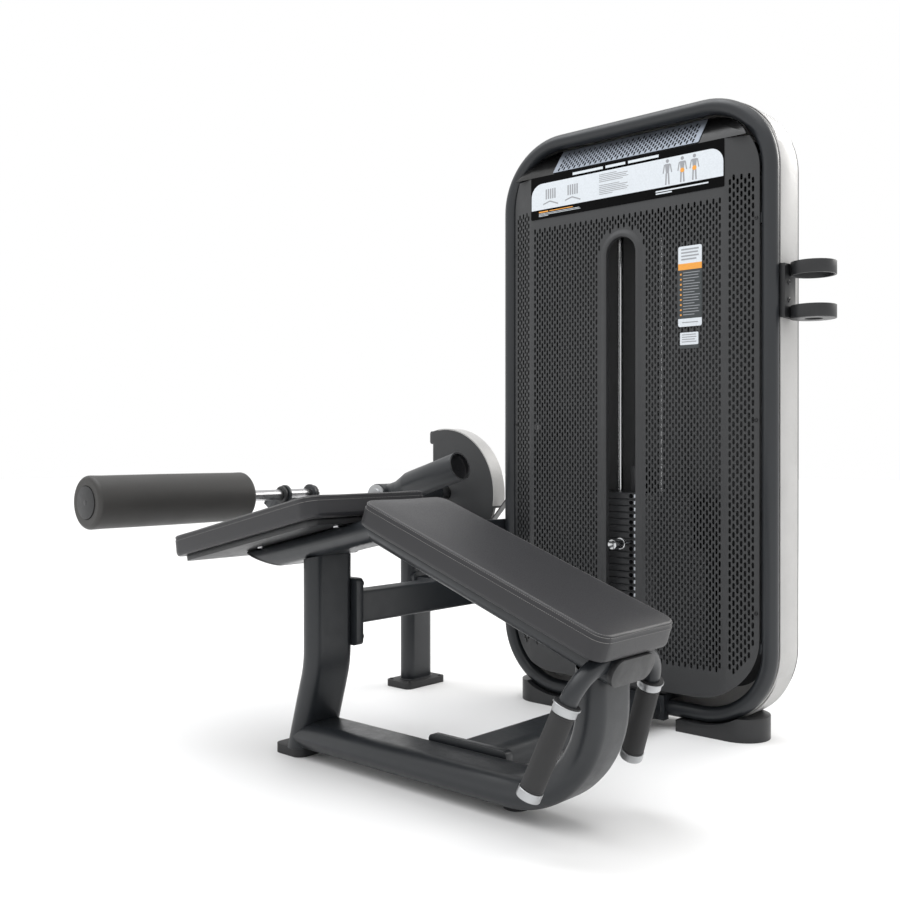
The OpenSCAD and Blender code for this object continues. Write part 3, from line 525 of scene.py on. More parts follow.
def dress_cad_nodes():
    """Every CAD node gets its finish and smooth shading; nodes of the finishes in EDGE_RADII also get true edge
    roundings.
    """
    slots = {s["node"]: s["material_slot"] for s in frame["record"]["subparts"]}
    for name, obj in NODES.items():
        slot = slots[name]
        obj.data.materials.clear()
        obj.data.materials.append(FINISHES[slot])
        if "custom_normal" in obj.data.attributes:
            obj.data.attributes.remove(obj.data.attributes["custom_normal"])
        weld = obj.modifiers.new("weld", "WELD")
        weld.merge_threshold = 0.02 * MM
        if slot in EDGE_RADII:
            bevel = obj.modifiers.new("edges", "BEVEL")
            bevel.width = EDGE_RADII[slot]
            bevel.segments = 2
            bevel.limit_method = "ANGLE"
            bevel.angle_limit = math.radians(40)
            bevel.use_clamp_overlap = True
        smooth(obj)
    for name in ("guide_rods", "selector_stem"):
        NODES[name].data.materials[0] = ROD
    NODES["header_panel"].data.materials[0] = PANEL
    NODES["back_cover"].data.materials[0] = COVER


# ---------- tower front ----------

COVER_LO, COVER_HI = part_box("front_cover")
LABEL_LO, LABEL_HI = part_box("label_placard")
NOTICE_LO, NOTICE_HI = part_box("notice_placards")
BEAM_LO, BEAM_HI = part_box("cross_beam")
TOWER_X = (COVER_LO.x + COVER_HI.x) / 2
FLAT_HALF = (LABEL_HI.x - LABEL_LO.x) / 2 + 2 * MM
SLOT_HALF = 42 * MM
SLOT_LOW, SLOT_HIGH = 0.112, 1.199
CORNER_R = 147 * MM
OUTLINE_TOP = 1.460
WING_SLOPE = 27 / 78
SHEET_T = 2.5 * MM
HOLE_MARGIN = 12 * MM
BEAM_GAP_LOW, BEAM_GAP_HIGH = 0.265, 0.370


def cover_place(u, v, depth):
    """Folds the flat pattern: the wings beyond the middle lean back."""
    back = max(0.0, abs(u) - FLAT_HALF) * WING_SLOPE
    return Vector((TOWER_X + u, COVER_LO.y + back + depth, v))


def cover_half_width(z):
    """Half width of the cover at a height, inside its round corners."""
    half = (COVER_HI.x - COVER_LO.x) / 2
    for end, sign in ((COVER_LO.z + CORNER_R, -1), (OUTLINE_TOP - CORNER_R, 1)):
        over = (z - end) * sign
        if over > 0:
            return half - CORNER_R + math.sqrt(max(0.0, CORNER_R ** 2 - over ** 2))
    return half


def cover_outline():
    """The cover's outline with the way in for the cross beam."""
    levels = [COVER_LO.z + CORNER_R * (1 - math.cos(math.radians(a))) for a in range(0, 91, 6)]
    upper = OUTLINE_TOP - CORNER_R
    levels += [upper + (COVER_HI.z - upper) * k / 8 for k in range(9)]
    right = [(cover_half_width(z), z) for z in levels]
    left = [(-x, z) for x, z in reversed(right)]
    notch_x = BEAM_HI.x + 20 * MM - TOWER_X
    edge = -(COVER_HI.x - COVER_LO.x) / 2
    cut = [(edge, BEAM_GAP_HIGH), (notch_x, BEAM_GAP_HIGH), (notch_x, BEAM_GAP_LOW), (edge, BEAM_GAP_LOW)]
    split = next(k for k, (x, z) in enumerate(left) if z < BEAM_GAP_LOW)
    return right + left[:split] + cut + left[split:]


def slot_spine(z):
    """The nearest height on the line between the centres of the selector slot's round ends."""
    return min(max(z, SLOT_LOW + SLOT_HALF), SLOT_HIGH - SLOT_HALF)


def room_for_hole(u, v):
    return abs(u) < cover_half_width(v - HOLE_MARGIN) - HOLE_MARGIN


def cover_holes():
    """Perforations of the flat middle and of the two wings."""
    pitch_x, pitch_z = 8.1 * MM, 19.5 * MM
    low, flat_top, wing_top = 0.165, 1.250, 1.296
    for u, v in staggered(-FLAT_HALF + 10 * MM, FLAT_HALF - 10 * MM, low, flat_top, pitch_x, pitch_z):
        if math.hypot(u, v - slot_spine(v)) - SLOT_HALF > 26 * MM and room_for_hole(u, v):
            yield u, v
    wing = (COVER_HI.x - COVER_LO.x) / 2
    for side in (-1, 1):
        middle = side * (FLAT_HALF + wing - 4 * MM) / 2
        reach = 26 * MM
        for u, v in staggered(middle - reach, middle + reach, low, wing_top, pitch_x, pitch_z):
            at_beam = u < 0 and BEAM_GAP_LOW - 15 * MM < v < BEAM_GAP_HIGH + 15 * MM
            if not at_beam and room_for_hole(u, v):
                yield u, v


def front_cover():
    loops = [cover_outline(), stadium(0.0, SLOT_LOW, SLOT_HIGH, SLOT_HALF, 20)]
    loops += [pointed_slot(u, v) for u, v in cover_holes()]
    folds = [((u, COVER_LO.z + 30 * MM), (u, COVER_HI.z - 1 * MM)) for u in (-FLAT_HALF, FLAT_HALF)]
    cover = sheet_solid("perforated_cover", loops, folds, cover_place, SHEET_T, "frame", COVER)
    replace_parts(cover, "front_cover")

    # pressed rim: rises from the sheet, rolls over and turns in round the slot
    section = [(19.0, 0.2), (15.0, -0.6), (10.5, -2.6), (6.5, -3.8), (2.8, -3.6), (0.6, -2.2), (0.0, 0.4),
               (0.0, 9.0), (1.6, 9.0), (1.8, 1.2), (3.4, -0.8), (7.0, -1.4), (11.5, 0.4), (16.0, 1.6)]
    path = []
    for x, z in stadium(TOWER_X, SLOT_LOW, SLOT_HIGH, SLOT_HALF, 28):
        side = Vector((x - TOWER_X, 0.0, z - slot_spine(z))).normalized()
        path.append((Vector((x, COVER_LO.y, z)), side, Vector((0.0, 1.0, 0.0))))
    swept(path, True, metres(section), "slot_rim", "frame", COVER)


def header_plate():
    """Perforated silver sheet on the leaning panel."""
    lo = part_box("header_panel")[0]
    lean = math.radians(36)
    low, high = 3 * MM, 83 * MM
    x0, x1 = LABEL_LO.x + 70 * MM, LABEL_HI.x - 67 * MM

    def place(u, v, depth):
        out = 2.2 * MM - depth
        return Vector((u, lo.y + v * math.sin(lean) - out * math.cos(lean),
                       lo.z + v * math.cos(lean) + out * math.sin(lean)))

    loops = [rounded_loop(x0, low, x1, high, 3 * MM, 4)]
    for x, v in staggered(x0 + 8 * MM, x1 - 8 * MM, low + 9 * MM, high - 8 * MM, 8.1 * MM, 16.2 * MM):
        loops.append(pointed_slot(x, v, 0.92))
    sheet_solid("header_mesh_plate", loops, [], place, 1.5 * MM, "frame", SILVER)


def bars(batch, x0, z1, widths, height, gap, front, depth):
    """Lines one below the other. Their widths, height and gap are in millimetres."""
    for k, width in enumerate(widths):
        z = z1 - k * (height + gap) * MM
        prism(batch, rectangle(x0, z - height * MM, x0 + width * MM, z), front, depth)


def limb(batch, x0, z0, x1, z1, half, front, depth):
    """A thin bar between two points."""
    way = Vector((x1 - x0, z1 - z0)).normalized() * half
    below = [(x0 + way.y, z0 - way.x), (x1 + way.y, z1 - way.x)]
    above = [(x1 - way.y, z1 + way.x), (x0 - way.y, z0 + way.x)]
    prism(batch, below + above, front, depth)


def figure(batch, x, z, size, front, depth):
    """Plain mannequin mark: head, body, two arms and two legs."""
    s = size / 60
    prism(batch, [(x + a, z + 26 * s + b) for a, b in arc(0, 0, 4.5 * s, 0, 330, 11)], front, depth)
    body = [(x + a * s, z + b * s) for a, b in ((-7, 19), (-4, -4), (4, -4), (7, 19))]
    prism(batch, body, front, depth)
    for side in (-1, 1):
        limb(batch, x + side * 8 * s, z + 18 * s, x + side * 12 * s, z - 3 * s, 1.5 * s, front, depth)
        limb(batch, x + side * 3 * s, z - 4 * s, x + side * 4.5 * s, z - 32 * s, 2.0 * s, front, depth)


PRINT_STEP = 0.15 * MM


def placard(batch, name, material):
    return batch.make(name, "frame", "placard", material)


def instruction_label():
    """Black film with a pale field, and plain marks where a label has its print."""
    front = LABEL_LO.y
    x0, x1, z0, z1 = LABEL_LO.x, LABEL_HI.x, LABEL_LO.z, LABEL_HI.z
    film = Batch()
    prism(film, rounded_loop(x0, z0, x1, z1, 3 * MM, 4), front, LABEL_HI.y - front)
    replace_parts(placard(film, "label_film", LABEL_BLACK), "label_placard")

    base, at, top, deep = front - PRINT_STEP, front - 2 * PRINT_STEP, front - 3 * PRINT_STEP, 2 * PRINT_STEP
    field = Batch()
    radii = (34 * MM, 34 * MM, 1 * MM, 1 * MM)
    prism(field, rounded_loop(x0 + 2 * MM, z0 + 24 * MM, x1 - 2 * MM, z1 - 19 * MM, radii, 10), base, deep)
    placard(field, "label_field", LABEL_WHITE)

    grey = Batch()
    for x in (x0 + 48 * MM, x0 + 118 * MM):
        for k in range(5):
            left = x + k * 7 * MM
            prism(grey, rectangle(left, z1 - 62 * MM, left + 4 * MM, z1 - 36 * MM), at, deep)
        limb(grey, x - 8 * MM, z1 - 74 * MM, x + 14 * MM, z1 - 68 * MM, 1.6 * MM, at, deep)
        limb(grey, x + 14 * MM, z1 - 68 * MM, x + 40 * MM, z1 - 78 * MM, 1.6 * MM, at, deep)
    for drop, widths in ((26, (52, 84, 80, 86, 70)), (53, (60, 84, 78, 86, 82, 40))):
        bars(grey, x0 + 215 * MM, z1 - drop * MM, widths, 1.8, 2.6, at, deep)
    for inwards in (148, 108, 76):
        figure(grey, x1 - inwards * MM, z1 - 52 * MM, 58 * MM, at, deep)
    placard(grey, "label_marks", LABEL_GREY)

    light = Batch()
    for start, width in ((134, 92), (234, 58), (300, 86)):
        bars(light, x0 + start * MM, z1 - 6.5 * MM, [width], 6.5, 1, base, deep)
    bars(light, x0 + 26 * MM, z0 + 14 * MM, [128, 132, 30], 1.2, 1.9, base, deep)
    bars(light, x1 - 180 * MM, z0 + 17 * MM, [140, 44], 3.2, 2.4, base, deep)
    placard(light, "label_light_marks", LABEL_WHITE)

    orange = Batch()
    bars(orange, x0 + 26 * MM, z0 + 19.5 * MM, [30], 3.4, 1, base, deep)
    bars(orange, x0 + 60 * MM, z0 + 18.8 * MM, [74], 2.0, 1, base, deep)
    for x in (x1 - 108 * MM, x1 - 76 * MM):
        prism(orange, [(x + a, z1 - 55 * MM + b) for a, b in arc(0, 0, 5.5 * MM, 0, 345, 23)], top, deep)
    placard(orange, "label_orange_marks", LABEL_ORANGE)


def notices():
    """Two small stuck-on notices with plain marks."""
    front, back = NOTICE_LO.y, NOTICE_HI.y
    x0, x1, z0, z1 = NOTICE_LO.x, NOTICE_HI.x, NOTICE_LO.z, NOTICE_HI.z
    low = z1 - 190 * MM
    base, at, deep = front - PRINT_STEP, front - 2 * PRINT_STEP, 2 * PRINT_STEP
    films = Batch()
    prism(films, rounded_loop(x0, low, x1, z1, 5 * MM, 5), front, back - front)
    prism(films, rounded_loop(x0 + 4 * MM, z0, x1 - 8 * MM, z0 + 39 * MM, 3 * MM, 4), front, back - front)
    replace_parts(placard(films, "notice_films", LABEL_DARK), "notice_placards")

    light = Batch()
    prism(light, rounded_loop(x0, z1 - 41 * MM, x1, z1, (5 * MM, 5 * MM, 0, 0), 5), base, deep)
    prism(light, rounded_loop(x0, low, x1, low + 19 * MM, (0, 0, 5 * MM, 5 * MM), 5), base, deep)
    prism(light, rounded_loop(x0 + 5 * MM, z0 + 9 * MM, x1 - 9 * MM, z0 + 38 * MM, 2 * MM, 4), base, deep)
    placard(light, "notice_light_fields", LABEL_WHITE)

    orange = Batch()
    bars(orange, x0, z1 - 41 * MM, [(x1 - x0) / MM], 15, 1, base, deep)
    for k in range(9):
        bars(orange, x0 + 5 * MM, z1 - (64 + 12 * k) * MM, [4], 4, 1, base, deep)
    placard(orange, "notice_orange_marks", LABEL_ORANGE)

    grey = Batch()
    for k in range(16):
        bars(grey, x0 + 13 * MM, z1 - (62 + 6.6 * k) * MM, [(44, 40, 42, 30)[k % 4]], 1.6, 1, base, deep)
    bars(grey, x0 + 8 * MM, z1 - 6 * MM, [46, 44, 46, 40], 3.6, 4.2, at, deep)
    bars(grey, x0 + 10 * MM, z0 + 34 * MM, [36, 38, 34, 38], 2.2, 3.4, at, deep)
    bars(grey, x0 + 10 * MM, low + 11 * MM, [42], 2.4, 1, at, deep)
    placard(grey, "notice_grey_marks", LABEL_GREY)


def plate_marks():
    """A pale tick beside the pin hole of every weight plate."""
    pitch = 16.5 * MM
    for node, body in (("head_plate", "stack"), ("lifted_plates", "stack"), ("fixed_plates", "frame")):
        lo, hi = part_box(node)
        ticks = Batch()
        for k in range(round((hi.z - lo.z + 1 * MM) / pitch)):
            z = hi.z - (k + 0.5) * pitch
            outline = rounded_loop(TOWER_X + 9 * MM, z - 4 * MM, TOWER_X + 14 * MM, z + 4.5 * MM, 1 * MM, 2)
            prism(ticks, outline, lo.y - 0.3 * MM, 0.6 * MM)
        ticks.make(node + "_ticks", body, "placard", LABEL_WHITE)


# ---------- pads ----------

def tilted_box(node, slope):
    """Lowest and highest corner of a node in a frame turned about Y by slope, and that frame."""
    turn = Matrix.Rotation(slope, 3, "Y")
    back = turn.inverted()
    local = np.array([back @ v.co for v in NODES[node].data.vertices])
    return Vector(local.min(0)), Vector(local.max(0)), turn.to_4x4()


def rim_points(lo, hi, radius, inset, step):
    """Evenly spaced (x, y, outward x, outward y) round a rounded rectangle, moved in by inset."""
    loop = rounded_loop(lo.x + inset, lo.y + inset, hi.x - inset, hi.y - inset, radius - inset, 14)
    points = [Vector(p) for p in loop]
    lengths = [(points[(k + 1) % len(points)] - p).length for k, p in enumerate(points)]
    total = sum(lengths)
    count = int(total / step)
    out, k, walked = [], 0, 0.0
    for i in range(count):
        target = total * i / count
        while walked + lengths[k] < target:
            walked += lengths[k]
            k += 1
        a, b = points[k], points[(k + 1) % len(points)]
        way = (b - a).normalized()
        p = a + way * (target - walked)
        out.append((p.x, p.y, way.y, -way.x))
    return out


def pad_blank(lo, hi, radius, edge, shrink):
    """Rounded-rectangle slab with rolled top and bottom edges."""
    bm = bmesh.new()
    levels = []
    for a in range(0, 91, 15):
        t = math.radians(a)
        levels.append((edge * (1 - math.sin(t)), lo.z + shrink + edge * (1 - math.cos(t))))
    levels += [(i, hi.z - shrink - (z - lo.z - shrink)) for i, z in reversed(levels)]
    rows = []
    for inset, z in levels:
        loop = rounded_loop(lo.x + shrink + inset, lo.y + shrink + inset, hi.x - shrink - inset,
                            hi.y - shrink - inset, radius - inset, 10)
        rows.append([bm.verts.new((x, y, z)) for x, y in loop])
    for low, high in zip(rows, rows[1:]):
        for k in range(len(low)):
            n = (k + 1) % len(low)
            bm.faces.new((low[k], low[n], high[n], high[k]))
    bm.faces.new(rows[0][::-1])
    bm.faces.new(rows[-1])
    mesh = bpy.data.meshes.new("pad_blank")
    bm.to_mesh(mesh)
    bm.free()
    return mesh


def apply_modifier(obj, name):
    bpy.ops.object.select_all(action="DESELECT")
    obj.select_set(True)
    bpy.context.view_layer.objects.active = obj
    bpy.ops.object.modifier_apply(modifier=name)


def inflate(obj, cap, floor_z, ceiling):
    """Cloth pressure, with each point's travel capped and evened out and the base kept flat."""
    last_frame, evening_rounds, kept_share = 20, 60, 0.3
    scene = bpy.context.scene
    before = np.array([v.co for v in obj.data.vertices])
    cloth = obj.modifiers.new("cloth", "CLOTH")
    settings = cloth.settings
    settings.quality = 4
    settings.mass = 0.3
    settings.tension_stiffness = 25
    settings.compression_stiffness = 25
    settings.bending_stiffness = 2.0
    settings.use_pressure = True
    settings.uniform_pressure_force = 4.0
    settings.effector_weights.gravity = 0.0
    base = obj.vertex_groups.new(name="base")
    base.add([k for k, co in enumerate(before) if co[2] < floor_z + 4 * MM], 1.0, "REPLACE")
    settings.vertex_group_mass = "base"
    cloth.point_cache.frame_start, cloth.point_cache.frame_end = 1, last_frame
    for number in range(1, last_frame + 1):
        scene.frame_set(number)
    apply_modifier(obj, "cloth")
    move = np.array([v.co for v in obj.data.vertices]) - before
    far = np.linalg.norm(move, axis=1)
    move *= np.minimum(1.0, cap / np.maximum(far, 1e-9))[:, None]
    ends = np.array([e.vertices[:] for e in obj.data.edges])
    share = np.maximum(np.bincount(ends.ravel(), minlength=len(before)), 1)[:, None]
    for _ in range(evening_rounds):
        total = np.zeros_like(move)
        np.add.at(total, ends[:, 0], move[ends[:, 1]])
        np.add.at(total, ends[:, 1], move[ends[:, 0]])
        move = kept_share * move + (1 - kept_share) * total / share
    after = before + move
    after[:, 2] = np.clip(after[:, 2], floor_z, ceiling)
    obj.data.vertices.foreach_set("co", after.ravel())
    obj.data.update()
    scene.frame_set(1)


def stitches(name, tree, points, turn):
    """Thread lengths laid on the surface at (position, direction along, direction out)."""
    length, thick = 3.3 * MM, 0.42 * MM
    batch = Batch()
    rings = ((-1.0, 0.25), (-0.72, 0.85), (0.0, 1.0), (0.72, 0.85), (1.0, 0.25))
    for start, way, outwards in points:
        hit, normal, _, _ = tree.ray_cast(start, -outwards, 0.05)
        if hit is None:
            continue
        along = (way - normal * way.dot(normal)).normalized()
        side = along.cross(normal)
        verts = []
        for t, r in rings:
            centre = hit + along * (t * length / 2) + normal * (thick * (0.45 * r - 0.15))
            for k in range(6):
                a = math.pi * k / 3
                out = side * math.cos(a) + normal * math.sin(a) * 0.8
                verts.append(turn @ (centre + out * (thick * r)))
        faces = [(r * 6 + k, r * 6 + (k + 1) % 6, (r + 1) * 6 + (k + 1) % 6, (r + 1) * 6 + k)
                 for r in range(4) for k in range(6)]
        faces += [tuple(range(5, -1, -1)), tuple(range(24, 30))]
        batch.put(verts, faces)
    batch.make(name, "frame", "vinyl", THREAD)


def seam_groove(obj, rim, level, depth, width):
    """Presses a shallow valley into the mesh along a line round the pad at one height."""
    for v in obj.data.vertices:
        near = abs(v.co.z - level) / width
        if near < 1:
            x, y = (min(max(v.co[i], rim[0][i]), rim[1][i]) for i in (0, 1))
            out = v.co - Vector((x, y, v.co.z))
            if out.length > 1e-5:
                v.co -= out.normalized() * depth * (1 - near * near) ** 2


def pad(node, slope, corner, swell):
    """An upholstered pad: blank, remesh, cloth, two seams and three rows of stitching."""
    lo, hi, turn = tilted_box(node, slope)
    obj = linked(node + "_cover", pad_blank(lo, hi, corner, 4 * MM, 1.2 * MM))
    remesh = obj.modifiers.new("remesh", "REMESH")
    remesh.mode = "VOXEL"
    remesh.voxel_size = 4 * MM
    apply_modifier(obj, "remesh")
    inflate(obj, swell, lo.z, hi.z + 4 * MM)
    subdivide = obj.modifiers.new("subdivide", "SUBSURF")
    subdivide.levels = 1
    apply_modifier(obj, "subdivide")
    core = (Vector((lo.x + corner, lo.y + corner, 0)), Vector((hi.x - corner, hi.y - corner, 0)))
    seam_groove(obj, core, hi.z - 8 * MM, 1.1 * MM, 3.4 * MM)
    seam_groove(obj, core, lo.z + 5 * MM, 0.8 * MM, 3.0 * MM)
    obj.data.materials.append(VINYL)
    for face in obj.data.polygons:
        face.use_smooth = True

    bm = bmesh.new()
    bm.from_mesh(obj.data)
    tree = BVHTree.FromBMesh(bm)
    step = 4.6 * MM
    rows = []
    for x, y, ox, oy in rim_points(lo, hi, corner, 8 * MM, step):
        rows.append((Vector((x, y, hi.z + 20 * MM)), Vector((-oy, ox, 0)), Vector((0, 0, 1))))
    for drop in (4.2 * MM, 12.4 * MM):
        for x, y, ox, oy in rim_points(lo, hi, corner, -15 * MM, step):
            out = Vector((ox, oy, 0))
            rows.append((Vector((x, y, hi.z - drop)), Vector((-oy, ox, 0)), out))
    stitches(node + "_stitching", tree, rows, turn)
    bm.free()
    obj.data.transform(turn)
    obj.data.update()
    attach(obj, "frame")
    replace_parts(obj, node)


# ---------- roller ----------

def foam_roller():
    lo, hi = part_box("roller_pad")
    centre = (lo + hi) / 2
    radius = (hi.x - lo.x) / 2
    length = hi.y - lo.y
    edge = 11 * MM
    bore, recess = 22.4 * MM, 40.5 * MM
    profile = [(recess, 6 * MM), (recess, 1.2 * MM), (recess + 0.8 * MM, 0.2 * MM), (radius - edge, 0.0)]
    profile += list(arc(radius - edge, edge, edge, -80, -10, 7)) + [(radius, edge + 2 * MM)]
    hollow, steps = 0.7 * MM, 16
    for k in range(1, steps):
        t = k / steps
        profile.append((radius - hollow * (1 - math.sin(math.pi * t)), edge + (length - 2 * edge) * t))
    profile += [(radius, length - edge - 2 * MM)] + list(arc(radius - edge, length - edge, edge, 10, 80, 7))
    profile += [(radius - edge, length), (bore + 14 * MM, length), (bore, length - 1 * MM), (bore, 6 * MM)]
    verts, faces = lathe_shape(profile, (centre.x, lo.y, centre.z), (0, 1, 0), 96, ring=True)
    foam = made("roller_foam", verts, faces, "roller", FOAM)
    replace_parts(foam, "roller_pad")

    # moulded end disc with a raised ring and a centre boss
    outer_end = (centre.x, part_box("roller_core")[0].y, centre.z)
    disc = [(0, -0.2), (7, -0.2), (8.5, 0.6), (9, 1.6), (20, 1.9), (21.5, 0.9), (24, 0.6), (26.5, 0.9),
            (28, 1.9), (35, 1.6), (38.5, 2.2), (39.7, 3.6), (39.9, 7.4), (0, 7.4)]
    verts, faces = lathe_shape(metres(disc), outer_end, (0, 1, 0), 72)
    made("roller_end_disc", verts, faces, "roller", PLASTIC)


# ---------- grips ----------

def grip_axes():
    """Start, direction and length of each grip, from its own points in the CAD mesh."""
    points = np.array([v.co for v in NODES["handle_grips"].data.vertices])
    middle = points[:, 1].mean()
    for side in (-1, 1):
        part = points[(points[:, 1] - middle) * side > 0]
        centre = part.mean(0)
        way = np.linalg.svd(part - centre)[2][0]
        if way[2] > 0:
            way = -way
        span = (part - centre) @ way
        yield Vector(centre + way * span.min()), Vector(way), span.max() - span.min()


def grips():
    rubber, collars, gaskets = Batch(), Batch(), Batch()
    r = 20.5
    upper = [(16.1, 0), (21.4, 0), (22.0, -0.7), (22.0, -12.0), (22.4, -12.9), (24.2, -13.2), (24.5, -13.6),
             (24.5, -15.4), (24.0, -16.0), (16.1, -16.0)]
    lower = [(16.1, 0), (21.0, 0), (21.5, 0.6), (21.5, 14.6), (20.6, 16.0), (16.5, 16.0), (16.1, 15.4)]
    seal = [(16.1, -16.1), (23.4, -16.1), (23.6, -17.0), (22.6, -17.8), (16.1, -17.8)]
    plug = [(0, 14.2), (15.6, 14.2), (16.2, 15.0), (15.4, 15.8), (0, 15.8)]
    for start, way, length in grip_axes():
        top = [(16.2, 0.3), (r - 0.9, 0.3), (r, 1.6), (r, 4.0), (r - 0.5, 5.0), (r, 6.0)]
        sleeve = top + [(a, length / MM - b) for a, b in reversed(top)]
        end = start + way * length
        rubber.put(*lathe_shape(metres(sleeve), start, way, 64, ring=True))
        collars.put(*lathe_shape(metres(upper), start, way, 64, ring=True))
        collars.put(*lathe_shape(metres(lower), end, way, 64, ring=True))
        gaskets.put(*lathe_shape(metres(seal), start, way, 48, ring=True))
        gaskets.put(*lathe_shape(metres(plug), end, way, 48))
    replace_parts(rubber.make("grip_sleeves", "frame", "grip_rubber", GRIP), "handle_grips")
    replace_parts(collars.make("grip_ferrules", "frame", "aluminium", ALUMINIUM), "grip_collars")
    gaskets.make("grip_seals", "frame", "rubber", RUBBER)


# ---------- welds, screws and belt ----------

def dense(points, step):
    """The same closed loop with a point at every step."""
    out = []
    for k, p in enumerate(points):
        q = points[(k + 1) % len(points)]
        count = max(1, round((q - p).length / step))
        out += [p.lerp(q, i / count) for i in range(count)]
    return out


def weld_bead(batch, corners):
    """A rippled fillet along a closed loop of points."""
    size, sides = 2.2 * MM, 6
    loop = dense(corners, size)
    count = len(loop)
    verts, faces = [], []
    for k, p in enumerate(loop):
        along = (loop[(k + 1) % count] - loop[k - 1]).normalized()
        side = along.cross(Vector((0.3, 0.5, 0.81))).normalized()
        up = along.cross(side)
        r = size * (1.0 + 0.16 * math.sin(k * 2.1) + 0.05 * math.sin(k * 0.77))
        angles = [2 * math.pi * i / sides for i in range(sides)]
        verts += [p + (side * math.cos(a) + up * math.sin(a)) * r for a in angles]
    for k in range(count):
        a, b = k * sides, (k + 1) % count * sides
        faces += [(a + i, a + (i + 1) % sides, b + (i + 1) % sides, b + i) for i in range(sides)]
    batch.put(verts, faces)


def welds():
    batch = Batch()
    for node, steps in (("cross_beam", 5), ("base_crossbar", 10)):
        lo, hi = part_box(node)
        radius = 8 * MM if node == "cross_beam" else (hi.z - lo.z) / 2
        for y in (lo.y, hi.y):
            ring = rounded_loop(lo.x, lo.z, hi.x, hi.z, radius, steps)
            weld_bead(batch, [Vector((x, y, z)) for x, z in ring])
    lo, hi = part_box("rear_post")
    ring = rounded_loop(lo.x, lo.y, hi.x, hi.y, (hi.x - lo.x) / 2 - 0.2 * MM, 10)
    weld_bead(batch, [Vector((x, y, lo.z + 1 * MM)) for x, y in ring])
    batch.make("weld_beads", "frame", "frame_paint", PAINT)


def socket_screw(batch, point, axis, head):
    """Button-head screw with a round driver recess, sized by its head radius in millimetres."""
    profile = [(0, 1.2), (0.42, 1.2), (0.45, 3.0), (0.62, 3.2), (0.86, 2.5), (0.98, 1.2), (1, 0), (0, 0)]
    shape = [(r * head * MM, t * head / 7 * MM) for r, t in profile]
    batch.put(*lathe_shape(shape, point, axis, 24))


def screws():
    batch = Batch()
    lo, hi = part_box("cup_holder")
    for z in (lo.z + 44 * MM, hi.z - 44 * MM):
        socket_screw(batch, (lo.x + 12 * MM, lo.y + 22 * MM, z), (1, 0, 0), 6.0)
    for side in (-1, 1):
        for z in (0.30, 0.74, 1.20):
            u = side * ((COVER_HI.x - COVER_LO.x) / 2 - 7 * MM)
            if side < 0 and z < 0.4:
                z = 0.22
            socket_screw(batch, cover_place(u, z, 0.0), (0, -1, 0), 4.5)
    foot_top = 18 * MM
    for x in (-0.452, -0.380):
        for y in (0.292, 0.417):
            socket_screw(batch, (x, y, foot_top), (0, 0, 1), 6.0)
    batch.make("socket_screws", "frame", "black_bolt", BLACK_BOLT)

    board = Batch()
    lo, _, turn = tilted_box("thigh_board", THIGH_SLOPE)
    down = turn.to_3x3() @ Vector((0, 0, -1))
    for x in (0.16, 0.42):
        for y in (-0.36, -0.24):
            socket_screw(board, turn @ Vector((lo.x + x, y, lo.z)), down, 8.0)
    board.make("board_screws", "frame", "bright_steel", STEEL)


def belt_pieces():
    """The belt's drop to the stack, and a thin lining that covers the cam's edge."""
    lo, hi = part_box("belt_drop")
    lift = JOINTS["stack_lift"]["range_m"][1]
    section = [(-1.5, -12), (1.5, -12), (1.5, -7), (1.1, -6), (1.5, -5), (1.5, 5), (1.1, 6), (1.5, 7),
               (1.5, 12), (-1.5, 12)]
    centre, steps = (lo + hi) / 2, 24
    levels = [lo.z + (hi.z - lo.z) * k / steps for k in range(steps + 1)]
    path = [(Vector((centre.x, centre.y, z)), Vector((1, 0, 0)), Vector((0, 1, 0))) for z in levels]
    drop = swept(path, False, metres(section), "belt_to_stack", "frame", BELT)
    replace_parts(drop, "belt_drop")
    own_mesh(drop)

    lo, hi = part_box("leg_cam")
    path = round_pivot(hi.x - PIVOT.x + 0.8 * MM, (lo.y + hi.y) / 2, -61.5, 142.5, 60)
    strip = [(-11.5, -0.75), (11.5, -0.75), (11.5, 0.75), (-11.5, 0.75)]
    swept(path, False, metres(strip), "cam_lining", "leg_arm", BELT)


def tower_shade_sheets_and_flanges():
    """Near-black sheets just inside the shell's two sides as painted shade for the dim inside of the tower, and
    the shell's pale turned-in edges.
    """
    lo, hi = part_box("side_shell")
    inset, near, deep = 9 * MM, 46 * MM, 3 * MM
    low, high = 0.19, 1.345
    batch = Batch()
    for side, way in ((lo.x + inset, 1), (hi.x - inset, -1)):
        ring = rectangle(side, COVER_LO.y + near, side + way * 1.5 * MM, hi.y - deep)
        verts = [(x, y, z) for z in (low, high) for x, y in ring]
        faces = [(0, 1, 2, 3), (7, 6, 5, 4)] + [(k, (k + 1) % 4, 4 + (k + 1) % 4, 4 + k) for k in range(4)]
        batch.put(verts, faces)
    # near-black sheets inside the pale shell: painted shade for the tower's dark inside
    batch.make("inner_shade_sheets", "frame", "cover_paint", PANEL)

    inset, corner = 5 * MM, 160 * MM
    x0, x1, z0, z1 = lo.x + inset, hi.x - inset, lo.z + inset, hi.z - inset
    section = metres([(0, 0), (82, 0), (82, 66), (80.5, 66), (80.5, 1.5), (0, 1.5)])
    for name, edge, turn in (("shell_bottom_flange", z0, 1), ("shell_top_flange", z1, -1)):
        left = [(x, edge + turn * (corner - z)) for x, z in arc(x0 + corner, 0, corner, 180, 90, 16)]
        line = left + [(x0 + x1 - x, z) for x, z in reversed(left)]
        path = []
        for k, (x, z) in enumerate(line):
            before, after = line[max(k - 1, 0)], line[min(k + 1, len(line) - 1)]
            way = Vector((after[0] - before[0], 0, after[1] - before[1])).normalized()
            inward = Vector((-way.z, 0, way.x)) * turn
            path.append((Vector((x, lo.y + 6 * MM, z)), Vector((0, 1, 0)), inward))
        swept(path, False, section, name, "frame", SHELL)


